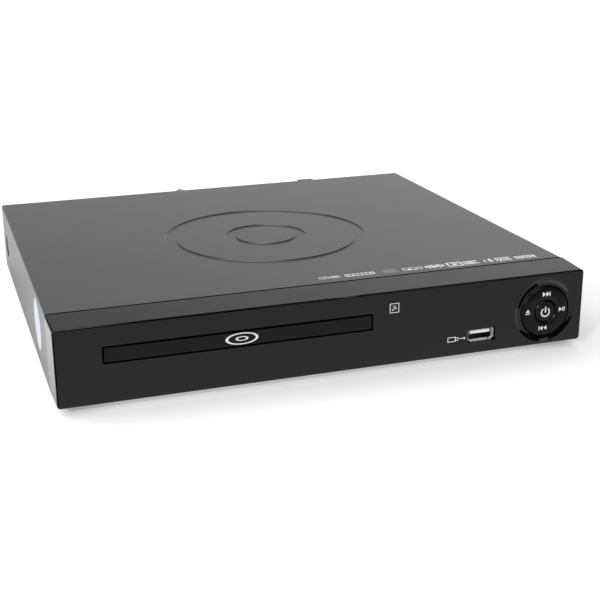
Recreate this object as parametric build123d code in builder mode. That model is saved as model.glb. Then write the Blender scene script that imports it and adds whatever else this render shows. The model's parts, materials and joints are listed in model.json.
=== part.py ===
from build123d import *
import os
from math import acos, asin, atan2, cos, degrees, floor, hypot, pi, radians, sin, tan

os.makedirs("parts", exist_ok=True)

# Frame: x runs across the front, y from the front to the back, z up from the surface under the feet.
# The origin is at the middle of the footprint. Heights inside the case count from its underside,
# and places along the depth count from the front face.

# Case
case_width = 270.0
case_depth = 242.0
case_height = 38.4
foot_height = 4.0
jack_reach = 9.0
steel = 0.7
pan_steel = 0.8
seam_gap = 0.7
cover_inset = 0.2
cover_bend = 1.2
fit_gap = 0.1
air_gap = 0.3

# Front bezel
bezel_depth = 21.3
bezel_wall = 2.2
front_wall = 2.5
bezel_fall = 0.45
bezel_taper = 0.4
seam_corner = 0.9
front_top_corner = 1.9
front_low_corner = 3.0
front_edge = 0.9

# Tray door in the bezel
door_width = 129.9
door_height = 7.0
door_thickness = 2.5
door_gap = 0.8
door_centre_height = 23.55
loader_inset = 87.7
loader_x = loader_inset - case_width / 2

# Controls
control_inset = 21.4
control_x = case_width / 2 - control_inset
control_height = 17.55
dish_shift_x = -0.7
dish_shift_z = 1.2
dish_radius = 17.2
dish_floor_radius = 13.4
dish_depth = 1.3
ring_radius = 13.3
ring_gap = 0.5
ring_face_depth = 0.3
power_radius = 5.6
power_gap = 0.45
key_travel = 0.4
light_inner = 14.6
light_outer = 16.5
light_start = 109.0
light_end = 168.0
light_thickness = 1.9
light_end_gap = 0.4

# Window of the remote sensor
window_from_door = 11.85
window_x = loader_x + door_width / 2 + window_from_door
window_height = 29.4
window_size = 5.2

# Front socket
usb_from_ring = 36.0
usb_x = control_x - usb_from_ring
usb_height = 9.45
usb_opening_width = 15.6
usb_opening_height = 7.2
usb_shell_width = 13.1
usb_shell_height = 5.72
usb_shell_steel = 0.3
usb_tongue_width = 11.1
usb_tongue_height = 1.84
usb_tongue_length = 11.0
usb_slit = 1.3
usb_tongue_chamfer = 0.35
usb_base_thickness = 1.5

# Rear sockets
rca_inset = 152.8
rca_x = case_width / 2 - rca_inset
rca_top_height = 33.2
rca_pitch = 13.0
rca_count = 3
rca_barrel_radius = 4.15
rca_barrel_bore = 3.35
rca_socket_radius = 1.6
rca_collar_radius = 5.2
rca_housing_width = 13.6
rca_housing_depth = 13.0
hdmi_inset = 73.0
hdmi_x = hdmi_inset - case_width / 2
hdmi_width = 15.0
hdmi_height = 6.0
hdmi_steel = 0.4
hdmi_depth = 11.5
gland_inset = 66.6
gland_x = case_width / 2 - gland_inset
gland_height = 31.0
gland_width = 10.6
gland_tallness = 14.0
gland_taper = 0.4
gland_neck_radius = 5.6
gland_bore_radius = 2.9
gland_reach = 6.0
gland_cut_width = 13.0
gland_cut_height = 18.0

# Disc loader
disc_radius = 60.0
disc_clearance = 0.75
well_radius = disc_radius + disc_clearance
small_well_radius = 40.5
disc_centre_depth = 70.0
tray_half_width = 64.2
tray_front = 2.5
tray_length = 167.5
tray_top = 26.6
tray_bottom = 19.95
tray_plate = 1.8
well_floor = 24.0
small_well_floor = 23.0
slot_half_width = 22.0
frame_front = 6.0
frame_rear = 190.0
frame_bottom = 4.0
frame_floor = 2.0
frame_wall = 2.2
frame_top = 28.6
tray_side_gap = 0.4
ledge_width = 4.0
lip_width = 3.0

# Gear teeth, in modules
pressure_angle = 25.0
gear_addendum = 0.85
gear_dedendum = 1.1

# Tray drive
rack_line = -58.0
drive_module = 1.0
drive_depth = 28.0
rack_gear_teeth = 16
reduction_teeth = 26
pinion_teeth = 12
pulley_radius = 12.0
motor_pulley_radius = 3.5
motor_offset = 20.0
motor_depth = 26.0
motor_radius = 12.2
belt_size = 1.4
axle_radius = 2.0
running_gap = 0.05

# Lifting traverse
pivot_depth = 180.0
pivot_height = 11.25
pivot_radius = 1.6
lift_pin_radius = 1.5
lift_pin_offset = 20.0
lift_pin_height = 16.0
lift_angle = 3.07
cam_travel = 14.0
lift_left = -43.0
lift_right = 57.0
lift_front = 53.0
lift_rear = 184.0
lift_bottom = 9.5
lift_top = 13.0
lift_rim = 9.0
plate_bottom = 14.0
plate_steel = 1.2
grommet_radius = 4.2
grommet_neck = 1.2
grommet_flange = 0.9
grommet_post_radius = 1.5

# Turntable and pickup
disc_plane = 25.4
turntable_radius = 13.0
hub_radius = 7.4
rotor_radius = 11.5
shaft_radius = 1.0
rod_radius = 1.5
rod_offset = 22.5
rod_height = 17.5
rod_front = 82.0
rod_rear = 152.0
lens_inner = 24.0
pickup_travel = 33.5
pickup_half_width = 19.0
sled_module = 0.8
sled_rack_line = 29.5
sled_gear_teeth = 14
sled_wheel_teeth = 20
sled_pinion_teeth = 10
sled_gear_depth = 123.0
sled_motor_radius = 8.0

# Clamper
bridge_bottom = 28.6
bridge_thickness = 1.6
bridge_front = 56.0
bridge_rear = 84.0
clamper_radius = 15.5
clamper_neck = 11.5
clamper_bottom = 26.8

# Boards
board_thickness = 1.6
power_board_height = 6.8
main_board_height = 2.0
front_board_depth = 14.5
switch_height = 3.5
switch_plunger = 0.8
switch_plunger_radius = 1.7
ring_post_gap = 0.35
ring_post_radius = 1.4
screw_head_radius = 2.8
screw_head_height = 1.6
screw_head_chamfer = 0.5
screw_shank_radius = 1.25
screw_shank_length = 5.5

# Stamped rings in the cover
stamp_depth_place = 119.0
stamp_x = 1.0
stamp_radius = 54.0
stamp_hub_radius = 20.0
bead_width = 6.0
bead_slope = 0.65
bead_depth = 0.6

total_depth = case_depth + jack_reach
front_y = -total_depth / 2


def back(distance):
    """y of a point this far behind the front face."""
    return front_y + distance


def high(height):
    """z of a point this far above the underside of the case."""
    return foot_height + height


def lane(offset):
    """x of a point this far to the right of the loader's centre line."""
    return loader_x + offset


def level(height):
    """Horizontal sketch plane at a height above the underside of the case."""
    return Plane.XY.offset(high(height))


def upright(distance):
    """Upright sketch plane facing the front: x stays x, its y is z, extruding comes forward."""
    return Plane(origin=(0, back(distance), 0), x_dir=(1, 0, 0), z_dir=(0, -1, 0))


def sideways(x):
    """Upright sketch plane across x: its x is y and its y is z."""
    return Plane(origin=(x, 0, 0), x_dir=(0, 1, 0), z_dir=(1, 0, 0))


def involute_teeth(teeth, module, first_angle, backlash=0.16):
    """Outline of a spur gear with a tooth centred at first_angle, as a sketch at the origin."""
    pressure = radians(pressure_angle)
    pitch = teeth * module / 2
    tip = pitch + gear_addendum * module
    root = pitch - gear_dedendum * module
    base = pitch * cos(pressure)
    half_at_pitch = pi / (2 * teeth) - backlash / (2 * pitch)

    def half_angle(radius):
        turn = acos(min(1, base / max(radius, base)))
        return half_at_pitch + (tan(pressure) - pressure) - (tan(turn) - turn)

    flank = [max(root, base) + (tip - max(root, base)) * step / 3 for step in range(4)]
    with BuildSketch() as outline:
        Circle(root)
        with PolarLocations(0, teeth, start_angle=first_angle):
            with BuildLine():
                right = [(r * cos(half_angle(r)), -r * sin(half_angle(r))) for r in flank]
                left = [(x, -y) for x, y in reversed(right)]
                foot = root * 0.9
                wide = half_angle(flank[0])
                Polyline((foot, -foot * tan(wide)), *right, *left, (foot, foot * tan(wide)), close=True)
            make_face()
    return outline.sketch


def arc_band(inner, outer, start, end):
    """Flat piece of a ring between two radii and two angles, as a sketch at the origin."""
    with BuildSketch() as band:
        Circle(outer)
        Circle(inner, mode=Mode.SUBTRACT)
        reach = 2 * outer
        middle = (start + end) / 2
        with BuildLine():
            Polyline((0, 0), *[(reach * cos(radians(angle)), reach * sin(radians(angle)))
                               for angle in (start, middle, end)], close=True)
        make_face(mode=Mode.INTERSECT)
    return band.sketch


def screw(place, direction):
    """A pan head screw whose head sits on a face at place and whose shank goes along direction."""
    seat = Plane(origin=place, z_dir=direction)
    with BuildPart(seat, mode=Mode.PRIVATE) as fastener:
        with BuildSketch(seat):
            Circle(screw_head_radius)
        extrude(amount=-screw_head_height)
        crown = fastener.edges().filter_by(GeomType.CIRCLE).sort_by(Axis(place, direction))[0]
        chamfer(crown, screw_head_chamfer)
        with BuildSketch(seat):
            Circle(screw_shank_radius)
        extrude(amount=screw_shank_length)
    return fastener.part


# Top cover: one folded sheet with stamped rings, screw dimples and a lip at the rear
cover_width = case_width - 2 * cover_inset
cover_top = case_height - cover_inset
cover_front = bezel_depth + seam_gap
cover_length = case_depth - cover_front
cover_edge_chamfer = 0.45
side_screw_places = [(59.0, 21.3), (case_depth - 21.0, 17.4)]
dimple_radius = 7.0
dimple_slope = 1.5
side_gap = 2.0
rear_lip = 7.5
stamp_centre = (stamp_x, back(stamp_depth_place))
rear_screw_drop = 4.6
rear_screw_inset = 17.0
rear_screw_lanes = [rear_screw_inset - case_width / 2, rca_x + 40.0, case_width / 2 - rear_screw_inset]
rear_screw_places = [(x, cover_top - rear_screw_drop) for x in rear_screw_lanes]

with BuildPart() as top_cover:
    with BuildSketch(upright(cover_front)):
        with Locations((0, high(cover_top / 2))):
            Rectangle(cover_width, cover_top)
            with Locations((0, -steel / 2)):
                Rectangle(cover_width - 2 * steel, cover_top - steel, mode=Mode.SUBTRACT)
    extrude(amount=-cover_length)
    long_edges = top_cover.edges().filter_by(Axis.Y)
    fillet(long_edges.group_by(Axis.Z)[-1], cover_bend)
    fillet(long_edges.group_by(Axis.Z)[-2], cover_bend - steel)
    front_edges = top_cover.edges().group_by(Axis.Y)[0]
    chamfer(front_edges.group_by(Axis.Z)[-1], cover_edge_chamfer)
    with BuildSketch(upright(case_depth)):
        with Locations((0, high(cover_top - rear_lip / 2 - steel / 2))):
            Rectangle(cover_width - 2 * steel - 2 * fit_gap, rear_lip)
        with Locations((rca_x, high(rca_top_height))):
            Rectangle(2 * rca_collar_radius + 2, 4 * rca_collar_radius, mode=Mode.SUBTRACT)
        with Locations((gland_x, high(gland_height))):
            Rectangle(gland_cut_width, gland_cut_height, mode=Mode.SUBTRACT)
    extrude(amount=steel)
    for radius in (stamp_radius, stamp_hub_radius):
        inner = radius - bead_width / 2
        outer = radius + bead_width / 2
        with BuildSketch(level(cover_top)):
            with Locations(stamp_centre):
                Circle(outer)
                Circle(inner, mode=Mode.SUBTRACT)
        extrude(amount=-steel, mode=Mode.SUBTRACT)
        section = Plane(origin=(stamp_centre[0], stamp_centre[1], high(cover_top)), x_dir=(1, 0, 0),
                        z_dir=(0, -1, 0))
        with BuildSketch(section):
            with BuildLine():
                Polyline((inner, 0), (inner + bead_slope, -bead_depth), (outer - bead_slope, -bead_depth),
                         (outer, 0), (outer, -steel), (outer - bead_slope, -bead_depth - steel),
                         (inner + bead_slope, -bead_depth - steel), (inner, -steel), close=True)
            make_face()
        revolve(axis=Axis((stamp_centre[0], stamp_centre[1], 0), (0, 0, 1)))
    for side in (-1, 1):
        for depth, height in side_screw_places:
            face_x = side * cover_width / 2
            with BuildSketch(sideways(face_x)):
                with Locations((back(depth), high(height))):
                    Circle(dimple_radius)
            extrude(amount=-side * steel, mode=Mode.SUBTRACT)
            inward = -side * (side_gap - fit_gap)
            floor_radius = dimple_radius - dimple_slope
            hole_radius = screw_shank_radius + fit_gap
            with BuildSketch(Plane(origin=(face_x, back(depth), high(height)), x_dir=(1, 0, 0),
                                   z_dir=(0, -1, 0))):
                with BuildLine():
                    Polyline((0, dimple_radius), (inward, floor_radius), (inward, hole_radius),
                             (inward - side * steel, hole_radius), (inward - side * steel, floor_radius),
                             (-side * steel, dimple_radius), close=True)
                make_face()
            revolve(axis=Axis((face_x, back(depth), high(height)), (1, 0, 0)))
    with BuildSketch(upright(case_depth)):
        with Locations(*[(x, high(z)) for x, z in rear_screw_places]):
            Circle(screw_shank_radius + fit_gap)
    extrude(amount=steel, mode=Mode.SUBTRACT)
top_cover.part.label = "top_cover"
export_step(top_cover.part, "parts/top_cover.step")

# Base pan: floor, folded sides with a front upstand, board posts, loader posts, feet holes and vents
pan_half = cover_width / 2 - steel - side_gap
pan_front = cover_front
pan_rear = case_depth - steel - fit_gap
pan_side_height = 25.0
low_upstand = 2.9
high_upstand = 12.0
loader_ears = [(side * 70.2, depth) for side in (-1, 1) for depth in (34.0, 172.0)]
foot_inset = 27.0
foot_places = [(side * (case_width / 2 - foot_inset), depth) for side in (-1, 1)
               for depth in (46.0, case_depth - 28.0)]
foot_radius = 10.0
foot_stud_radius = 3.0
foot_barb = 1.0
ear_reach = 74.7
cable_lane = 8.6
power_board_left = lane(ear_reach) + cable_lane
power_board_right = case_width / 2 - 5.0
power_board_front = 60.0
power_board_rear = case_depth - 10.0
high_upstand_left = power_board_left + 6.0
main_board_left = 10.0 - case_width / 2
main_board_right = power_board_left - 2.0
main_board_front = frame_rear + 3.0
main_board_rear = case_depth - 6.0
power_posts = [(x, depth) for x in (power_board_left + 5.0, power_board_right - 5.0)
               for depth in (power_board_front + 6.0, power_board_rear - 6.0)]
main_posts = [(x, depth) for x in (main_board_left + 6.0, main_board_right - 12.0)
              for depth in (main_board_front + 5.0, main_board_rear - 4.0)]
power_vent = (power_board_left + 49.0, 146.0)
main_vent = (rca_x, case_depth - 28.0)
vent_length = 26.0
vent_width = 2.6
vent_count = 7
vent_pitch = 6.0

with BuildPart() as base_pan:
    with BuildSketch(level(0)):
        with Locations((0, back((pan_front + pan_rear) / 2))):
            Rectangle(2 * pan_half, pan_rear - pan_front)
        with Locations(*[(x, back(depth)) for x, depth in foot_places]):
            Circle(foot_stud_radius + running_gap, mode=Mode.SUBTRACT)
        with Locations(*[(x, back(depth)) for x, depth in (power_vent, main_vent)]):
            with GridLocations(vent_length + 6.0, vent_pitch, 2, vent_count - 1):
                SlotOverall(vent_length, vent_width, mode=Mode.SUBTRACT)
    extrude(amount=pan_steel)
    for side in (-1, 1):
        with BuildSketch(level(0)):
            with Locations((side * (pan_half - pan_steel / 2), back((pan_front + pan_rear) / 2))):
                Rectangle(pan_steel, pan_rear - pan_front)
        extrude(amount=pan_side_height)
    with BuildSketch(upright(pan_front)):
        with Locations((0, high(low_upstand / 2))):
            Rectangle(2 * pan_half, low_upstand)
        with Locations(((pan_half + high_upstand_left) / 2, high(high_upstand / 2))):
            Rectangle(pan_half - high_upstand_left, high_upstand)
    extrude(amount=-pan_steel)
    post_radius = 3.0
    for places, height in ((loader_ears, frame_bottom), (power_posts, power_board_height),
                           (main_posts, main_board_height)):
        offset_x = loader_x if places is loader_ears else 0
        with BuildSketch(level(0)):
            with Locations(*[(x + offset_x, back(depth)) for x, depth in places]):
                Circle(post_radius)
        extrude(amount=height)
        with BuildSketch(level(height)):
            with Locations(*[(x + offset_x, back(depth)) for x, depth in places]):
                Circle(screw_shank_radius + running_gap)
        extrude(amount=-height, mode=Mode.SUBTRACT)
    for side in (-1, 1):
        with BuildSketch(sideways(side * pan_half)):
            with Locations(*[(back(depth), high(height)) for depth, height in side_screw_places]):
                Circle(screw_shank_radius + running_gap)
        extrude(amount=-side * pan_steel, mode=Mode.SUBTRACT)
base_pan.part.label = "base_pan"
export_step(base_pan.part, "parts/base_pan.step")

# Rear panel: stands on the pan floor between the folded sides, with the socket cut-outs and vents
panel_back = case_depth - steel - fit_gap
panel_front = panel_back - pan_steel
panel_half = pan_half - pan_steel - fit_gap
panel_bottom = pan_steel
panel_top = cover_top - steel - fit_gap
panel_foot = 8.0
rca_heights = [rca_top_height - index * rca_pitch for index in range(rca_count)]
jack_notch_bottom = rca_heights[-1] - rca_collar_radius - fit_gap
hdmi_centre = main_board_height + board_thickness + 0.3 + hdmi_height / 2

with BuildPart() as rear_panel:
    with BuildSketch(upright(panel_back)):
        with Locations((0, high((panel_bottom + panel_top) / 2))):
            Rectangle(2 * panel_half, panel_top - panel_bottom)
        with Locations((rca_x, high((jack_notch_bottom + case_height) / 2))):
            Rectangle(2 * (rca_collar_radius + fit_gap), case_height - jack_notch_bottom,
                      mode=Mode.SUBTRACT)
        with Locations((hdmi_x, high(hdmi_centre))):
            Rectangle(hdmi_width + 2 * fit_gap, hdmi_height + 2 * fit_gap, mode=Mode.SUBTRACT)
        with Locations((gland_x, high(gland_height))):
            Circle(gland_neck_radius + fit_gap, mode=Mode.SUBTRACT)
        with Locations(*[(x, high(z)) for x, z in rear_screw_places]):
            Circle(screw_shank_radius + running_gap, mode=Mode.SUBTRACT)
        with Locations((power_board_right - 30.0, high(17.0))):
            with GridLocations(vent_pitch, 0, 6, 1):
                SlotOverall(12.0, vent_width, rotation=90, mode=Mode.SUBTRACT)
    extrude(amount=pan_steel)
    with BuildSketch(level(panel_bottom)):
        with Locations((0, back(panel_back - panel_foot / 2))):
            Rectangle(2 * panel_half, panel_foot)
        with Locations((rca_x, back(panel_back - panel_foot / 2 - pan_steel))):
            Rectangle(rca_housing_width + 4, panel_foot, mode=Mode.SUBTRACT)
        with Locations(*[(x, back(depth)) for x, depth in main_posts]):
            Circle(post_radius + 0.8, mode=Mode.SUBTRACT)
    extrude(amount=pan_steel)
    for side in (-1, 1):
        with BuildSketch(level(panel_bottom)):
            with Locations((side * (panel_half - pan_steel / 2), back(panel_back - panel_foot / 2))):
                Rectangle(pan_steel, panel_foot)
        extrude(amount=pan_side_height - panel_bottom)
rear_panel.part.label = "rear_panel"
export_step(rear_panel.part, "parts/rear_panel.step")

# Front bezel: a tapering moulded tray with rounded front corners, its openings, bosses and brackets
bezel_face_height = case_height - bezel_fall
door_opening_width = door_width + 2 * door_gap
door_opening_height = door_height + 2 * door_gap
collar_depth = 5.4
pivot_line = 7.4
pivot_pin = 0.8
rocker_gap = 0.4
rocker_wall = 1.4
rocker_inner = ring_radius + rocker_gap
rocker_outer = rocker_inner + rocker_wall
bracket_thickness = 2.6
bracket_height = 6.0
bracket_offset = 2.3
bracket_length = 8.5
boss_hole_depth = 6.0
bracket_places = [(control_x + side * (rocker_outer + bracket_offset), high(control_height))
                  for side in (-1, 1)]
collar_radius = 16.1
front_bosses = [(window_x + 6.5, 9.0), (control_x - 22.0, 30.0), (control_x + 15.5, 32.8)]
boss_radius = 2.6

with BuildPart() as front_bezel:
    for depth, width, height, top_corner, low_corner in (
            (bezel_depth, case_width, case_height, seam_corner, seam_corner),
            (0, case_width - 2 * bezel_taper, bezel_face_height, front_top_corner, front_low_corner)):
        with BuildSketch(upright(depth)) as outline:
            with Locations((0, high(height / 2))):
                Rectangle(width, height)
            corners = outline.vertices().group_by(Axis.Z)
            fillet(corners[-1], top_corner)
            fillet(corners[0], low_corner)
    loft(ruled=True)
    front_face = front_bezel.faces().sort_by(Axis.Y)[0]
    fillet(front_face.edges(), front_edge)
    inner_width = case_width - 2 * bezel_wall
    inner_height = case_height - 2 * bezel_wall
    with BuildSketch(upright(bezel_depth)):
        with Locations((0, high(case_height / 2))):
            RectangleRounded(inner_width, inner_height, seam_corner)
    with BuildSketch(upright(front_wall)):
        with Locations((0, high(bezel_face_height / 2))):
            RectangleRounded(inner_width - 2 * bezel_taper, inner_height - bezel_fall, seam_corner)
    loft(ruled=True, mode=Mode.SUBTRACT)
    with BuildSketch(upright(front_wall)):
        with Locations((control_x, high(control_height))):
            Circle(collar_radius)
    extrude(amount=-(collar_depth - front_wall))
    with BuildSketch(upright(front_wall)):
        with Locations(*[(x, high(z)) for x, z in front_bosses]):
            Circle(boss_radius)
        with Locations(*bracket_places):
            Rectangle(bracket_thickness, bracket_height)
    extrude(amount=-(front_board_depth - front_wall))
    with BuildSketch(upright(0)):
        with Locations((loader_x, high(door_centre_height))):
            RectangleRounded(door_opening_width, door_opening_height, 0.6)
        with Locations((usb_x, high(usb_height))):
            RectangleRounded(usb_opening_width, usb_opening_height, 0.5)
        with Locations((window_x, high(window_height))):
            RectangleRounded(window_size + 2 * fit_gap, window_size + 2 * fit_gap, 0.9)
        with Locations((control_x, high(control_height))):
            Circle(ring_radius + ring_gap)
    extrude(amount=-(collar_depth + 0.1), mode=Mode.SUBTRACT)
    dish_centre = (control_x + dish_shift_x, back(0), high(control_height + dish_shift_z))
    dish = Plane(origin=dish_centre, x_dir=(1, 0, 0), z_dir=(0, 0, 1))
    with BuildSketch(dish):
        with BuildLine():
            Polyline((0, -0.5), (dish_radius, -0.5), (dish_radius, 0), close=False)
            ThreePointArc((dish_radius, 0), ((dish_radius + dish_floor_radius) / 2, 0.7 * dish_depth),
                          (dish_floor_radius, dish_depth))
            Polyline((dish_floor_radius, dish_depth), (0, dish_depth), (0, -0.5))
        make_face()
    revolve(axis=Axis(dish.origin, (0, 1, 0)), mode=Mode.SUBTRACT)
    with BuildSketch(upright(0)):
        with Locations((control_x, high(control_height))):
            add(arc_band(light_inner - fit_gap, light_outer + fit_gap, light_start - light_end_gap,
                         light_end + light_end_gap))
    extrude(amount=-(dish_depth + light_thickness + fit_gap), mode=Mode.SUBTRACT)
    with BuildSketch(upright(front_board_depth)):
        with Locations(*[(x, high(z)) for x, z in front_bosses]):
            Circle(screw_shank_radius + running_gap)
    extrude(amount=boss_hole_depth, mode=Mode.SUBTRACT)
    bracket_reach = rocker_outer + 4.0
    with BuildSketch(sideways(control_x - bracket_reach)):
        with Locations((back(pivot_line), high(control_height))):
            Circle(pivot_pin + running_gap)
    extrude(amount=2 * bracket_reach, mode=Mode.SUBTRACT)
    with BuildSketch(upright(front_wall + bracket_length)):
        with Locations(*bracket_places):
            Rectangle(bracket_thickness + 2 * fit_gap, bracket_height + 2 * fit_gap)
    extrude(amount=-(front_board_depth - front_wall - bracket_length), mode=Mode.SUBTRACT)
front_bezel.part.label = "front_bezel"
export_step(front_bezel.part, "parts/front_bezel.step")

# Feet: moulded pads held by a stud through the pan
foot_seat = foot_height + pan_steel + fit_gap
foot_tip = foot_height + pan_steel + foot_barb
with BuildPart() as feet:
    for x, depth in foot_places:
        with BuildSketch(Plane(origin=(x, back(depth), 0), x_dir=(1, 0, 0), z_dir=(0, -1, 0))):
            with BuildLine():
                Polyline((0, 0), (foot_radius - 1.2, 0), (foot_radius - 0.4, 0.5),
                         (foot_radius, foot_height), (foot_stud_radius, foot_height),
                         (foot_stud_radius, foot_seat), (foot_stud_radius + 0.8, foot_seat),
                         (foot_stud_radius, foot_tip), (0, foot_tip), close=True)
            make_face()
        revolve(axis=Axis((x, back(depth), 0), (0, 0, 1)))
feet.part.label = "feet"
export_step(feet.part, "parts/feet.step")

# Window of the remote sensor, flush in the bezel
with BuildPart() as sensor_window:
    with BuildSketch(upright(0)):
        with Locations((window_x, high(window_height))):
            RectangleRounded(window_size, window_size, 0.9)
    extrude(amount=-front_wall)
    with BuildSketch(upright(front_wall)):
        with Locations((window_x, high(window_height))):
            RectangleRounded(window_size + 2.4, window_size + 2.4, 1.2)
    extrude(amount=-1.0)
sensor_window.part.label = "sensor_window"
export_step(sensor_window.part, "parts/sensor_window.step")

# Light window: a dark curved lens in the dish, let in from the front
with BuildPart() as light_window:
    with BuildSketch(upright(dish_depth)):
        with Locations((control_x, high(control_height))):
            add(arc_band(light_inner, light_outer, light_start, light_end))
    extrude(amount=-light_thickness)
light_window.part.label = "light_window"
export_step(light_window.part, "parts/light_window.step")

# Power key: domed cap, long stem and a flange that keeps it behind the ring
stem_end = front_board_depth - switch_height - switch_plunger - key_travel - fit_gap
ring_back = pivot_line + pivot_pin + 0.4
key_section = Plane(origin=(control_x, back(0), high(control_height)), x_dir=(1, 0, 0), z_dir=(0, 0, 1))
with BuildPart() as power_button:
    with BuildSketch(key_section):
        with BuildLine():
            ThreePointArc((0, 0), (power_radius * 0.6, 0.1), (power_radius - 0.5, 0.3))
            Polyline((power_radius - 0.5, 0.3), (power_radius, 0.8), (power_radius, ring_back + air_gap),
                     (power_radius + 1.3, ring_back + air_gap), (power_radius + 1.3, ring_back + 0.9),
                     (2.2, ring_back + 0.9), (2.2, stem_end), (0, stem_end), (0, 0))
        make_face()
    revolve(axis=Axis((control_x, 0, high(control_height)), (0, 1, 0)))
power_button.part.label = "power_button"
export_step(power_button.part, "parts/power_button.step")

# Ring key: crowned ring with a bore for the power key, two pivot pins and four posts
post_reach = front_board_depth - switch_height - switch_plunger - ring_post_gap
post_circle = 10.4
ring_pin_end = rocker_inner + 1.2
with BuildPart() as control_ring:
    with BuildSketch(key_section):
        with BuildLine():
            bore = power_radius + power_gap
            Line((bore, ring_face_depth + 0.5), (bore + 0.4, ring_face_depth + 0.1))
            ThreePointArc((bore + 0.4, ring_face_depth + 0.1),
                          ((bore + ring_radius) / 2, ring_face_depth - 0.3),
                          (ring_radius - 0.5, ring_face_depth + 0.3))
            Polyline((ring_radius - 0.5, ring_face_depth + 0.3), (ring_radius, ring_face_depth + 0.9),
                     (ring_radius, ring_back), (bore, ring_back), (bore, ring_face_depth + 0.5))
        make_face()
    revolve(axis=Axis((control_x, 0, high(control_height)), (0, 1, 0)))
    with BuildSketch(upright(ring_back)):
        with Locations((control_x, high(control_height))):
            with PolarLocations(post_circle, 4):
                Circle(ring_post_radius)
    extrude(amount=-(post_reach - ring_back))
    with BuildSketch(level(control_height - ring_pin_end)):
        with Locations((control_x, back(pivot_line))):
            Circle(pivot_pin)
    extrude(amount=2 * ring_pin_end)
    with BuildSketch(upright(0)):
        with Locations((control_x, high(control_height))):
            Circle(power_radius + power_gap)
    extrude(amount=-(ring_back + 2.0), mode=Mode.SUBTRACT)
control_ring.part.label = "control_ring"
export_step(control_ring.part, "parts/control_ring.step")

# Rocker frame: carries the ring on its upper and lower pins and pivots in the bezel's brackets
rocker_front = collar_depth + 0.4
rocker_back = 2 * pivot_line - rocker_front
rocker_pin_end = rocker_outer + 2.8
with BuildPart() as rocker_frame:
    with BuildSketch(upright(rocker_front)):
        with Locations((control_x, high(control_height))):
            Circle(rocker_outer)
            Circle(rocker_inner, mode=Mode.SUBTRACT)
    extrude(amount=-(rocker_back - rocker_front))
    with BuildSketch(sideways(control_x - rocker_pin_end)):
        with Locations((back(pivot_line), high(control_height))):
            Circle(pivot_pin)
    extrude(amount=2 * rocker_pin_end)
    with BuildSketch(upright(rocker_front)):
        with Locations((control_x, high(control_height))):
            Circle(rocker_inner)
    extrude(amount=-(rocker_back - rocker_front), mode=Mode.SUBTRACT)
    with BuildSketch(level(control_height - rocker_outer - 1)):
        with Locations((control_x, back(pivot_line))):
            Circle(pivot_pin + running_gap)
    extrude(amount=2 * (rocker_outer + 1), mode=Mode.SUBTRACT)
rocker_frame.part.label = "rocker_frame"
export_step(rocker_frame.part, "parts/rocker_frame.step")

# Front board with its switches and the remote sensor
front_board_left = window_x - 5.5
front_board_right = case_width / 2 - bezel_wall - 1.8
switch_places = [(0, 0)] + [(post_circle * cos(angle), post_circle * sin(angle))
                            for angle in (0, pi / 2, pi, 3 * pi / 2)]
switch_size = 6.0
with BuildPart() as front_board:
    with BuildSketch(upright(front_board_depth)):
        with Locations(((front_board_left + front_board_right) / 2, high(19.0))):
            Rectangle(front_board_right - front_board_left, 30.6)
        with Locations(*[(x, high(z)) for x, z in front_bosses]):
            Circle(screw_shank_radius + fit_gap, mode=Mode.SUBTRACT)
    extrude(amount=-board_thickness)
front_board.part.label = "front_board"
export_step(front_board.part, "parts/front_board.step")

with BuildPart() as tact_switches:
    for dx, dz in switch_places:
        with BuildSketch(upright(front_board_depth)):
            with Locations((control_x + dx, high(control_height + dz))):
                Rectangle(switch_size, switch_size)
        extrude(amount=switch_height)
        with BuildSketch(upright(front_board_depth - switch_height)):
            with Locations((control_x + dx, high(control_height + dz))):
                Circle(switch_plunger_radius)
        extrude(amount=switch_plunger)
tact_switches.part.label = "tact_switches"
export_step(tact_switches.part, "parts/tact_switches.step")

with BuildPart() as remote_sensor:
    with BuildSketch(upright(front_board_depth)):
        with Locations((window_x, high(window_height - 0.6))):
            Rectangle(6.0, 7.0)
    extrude(amount=5.0)
    with Locations((window_x, back(front_board_depth - 5.0), high(window_height))):
        Sphere(2.4)
    with BuildSketch(upright(front_board_depth)):
        with Locations((window_x, high(window_height))):
            Rectangle(20, 20)
    extrude(amount=-6.0, mode=Mode.SUBTRACT)
remote_sensor.part.label = "remote_sensor"
export_step(remote_sensor.part, "parts/remote_sensor.step")

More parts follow.
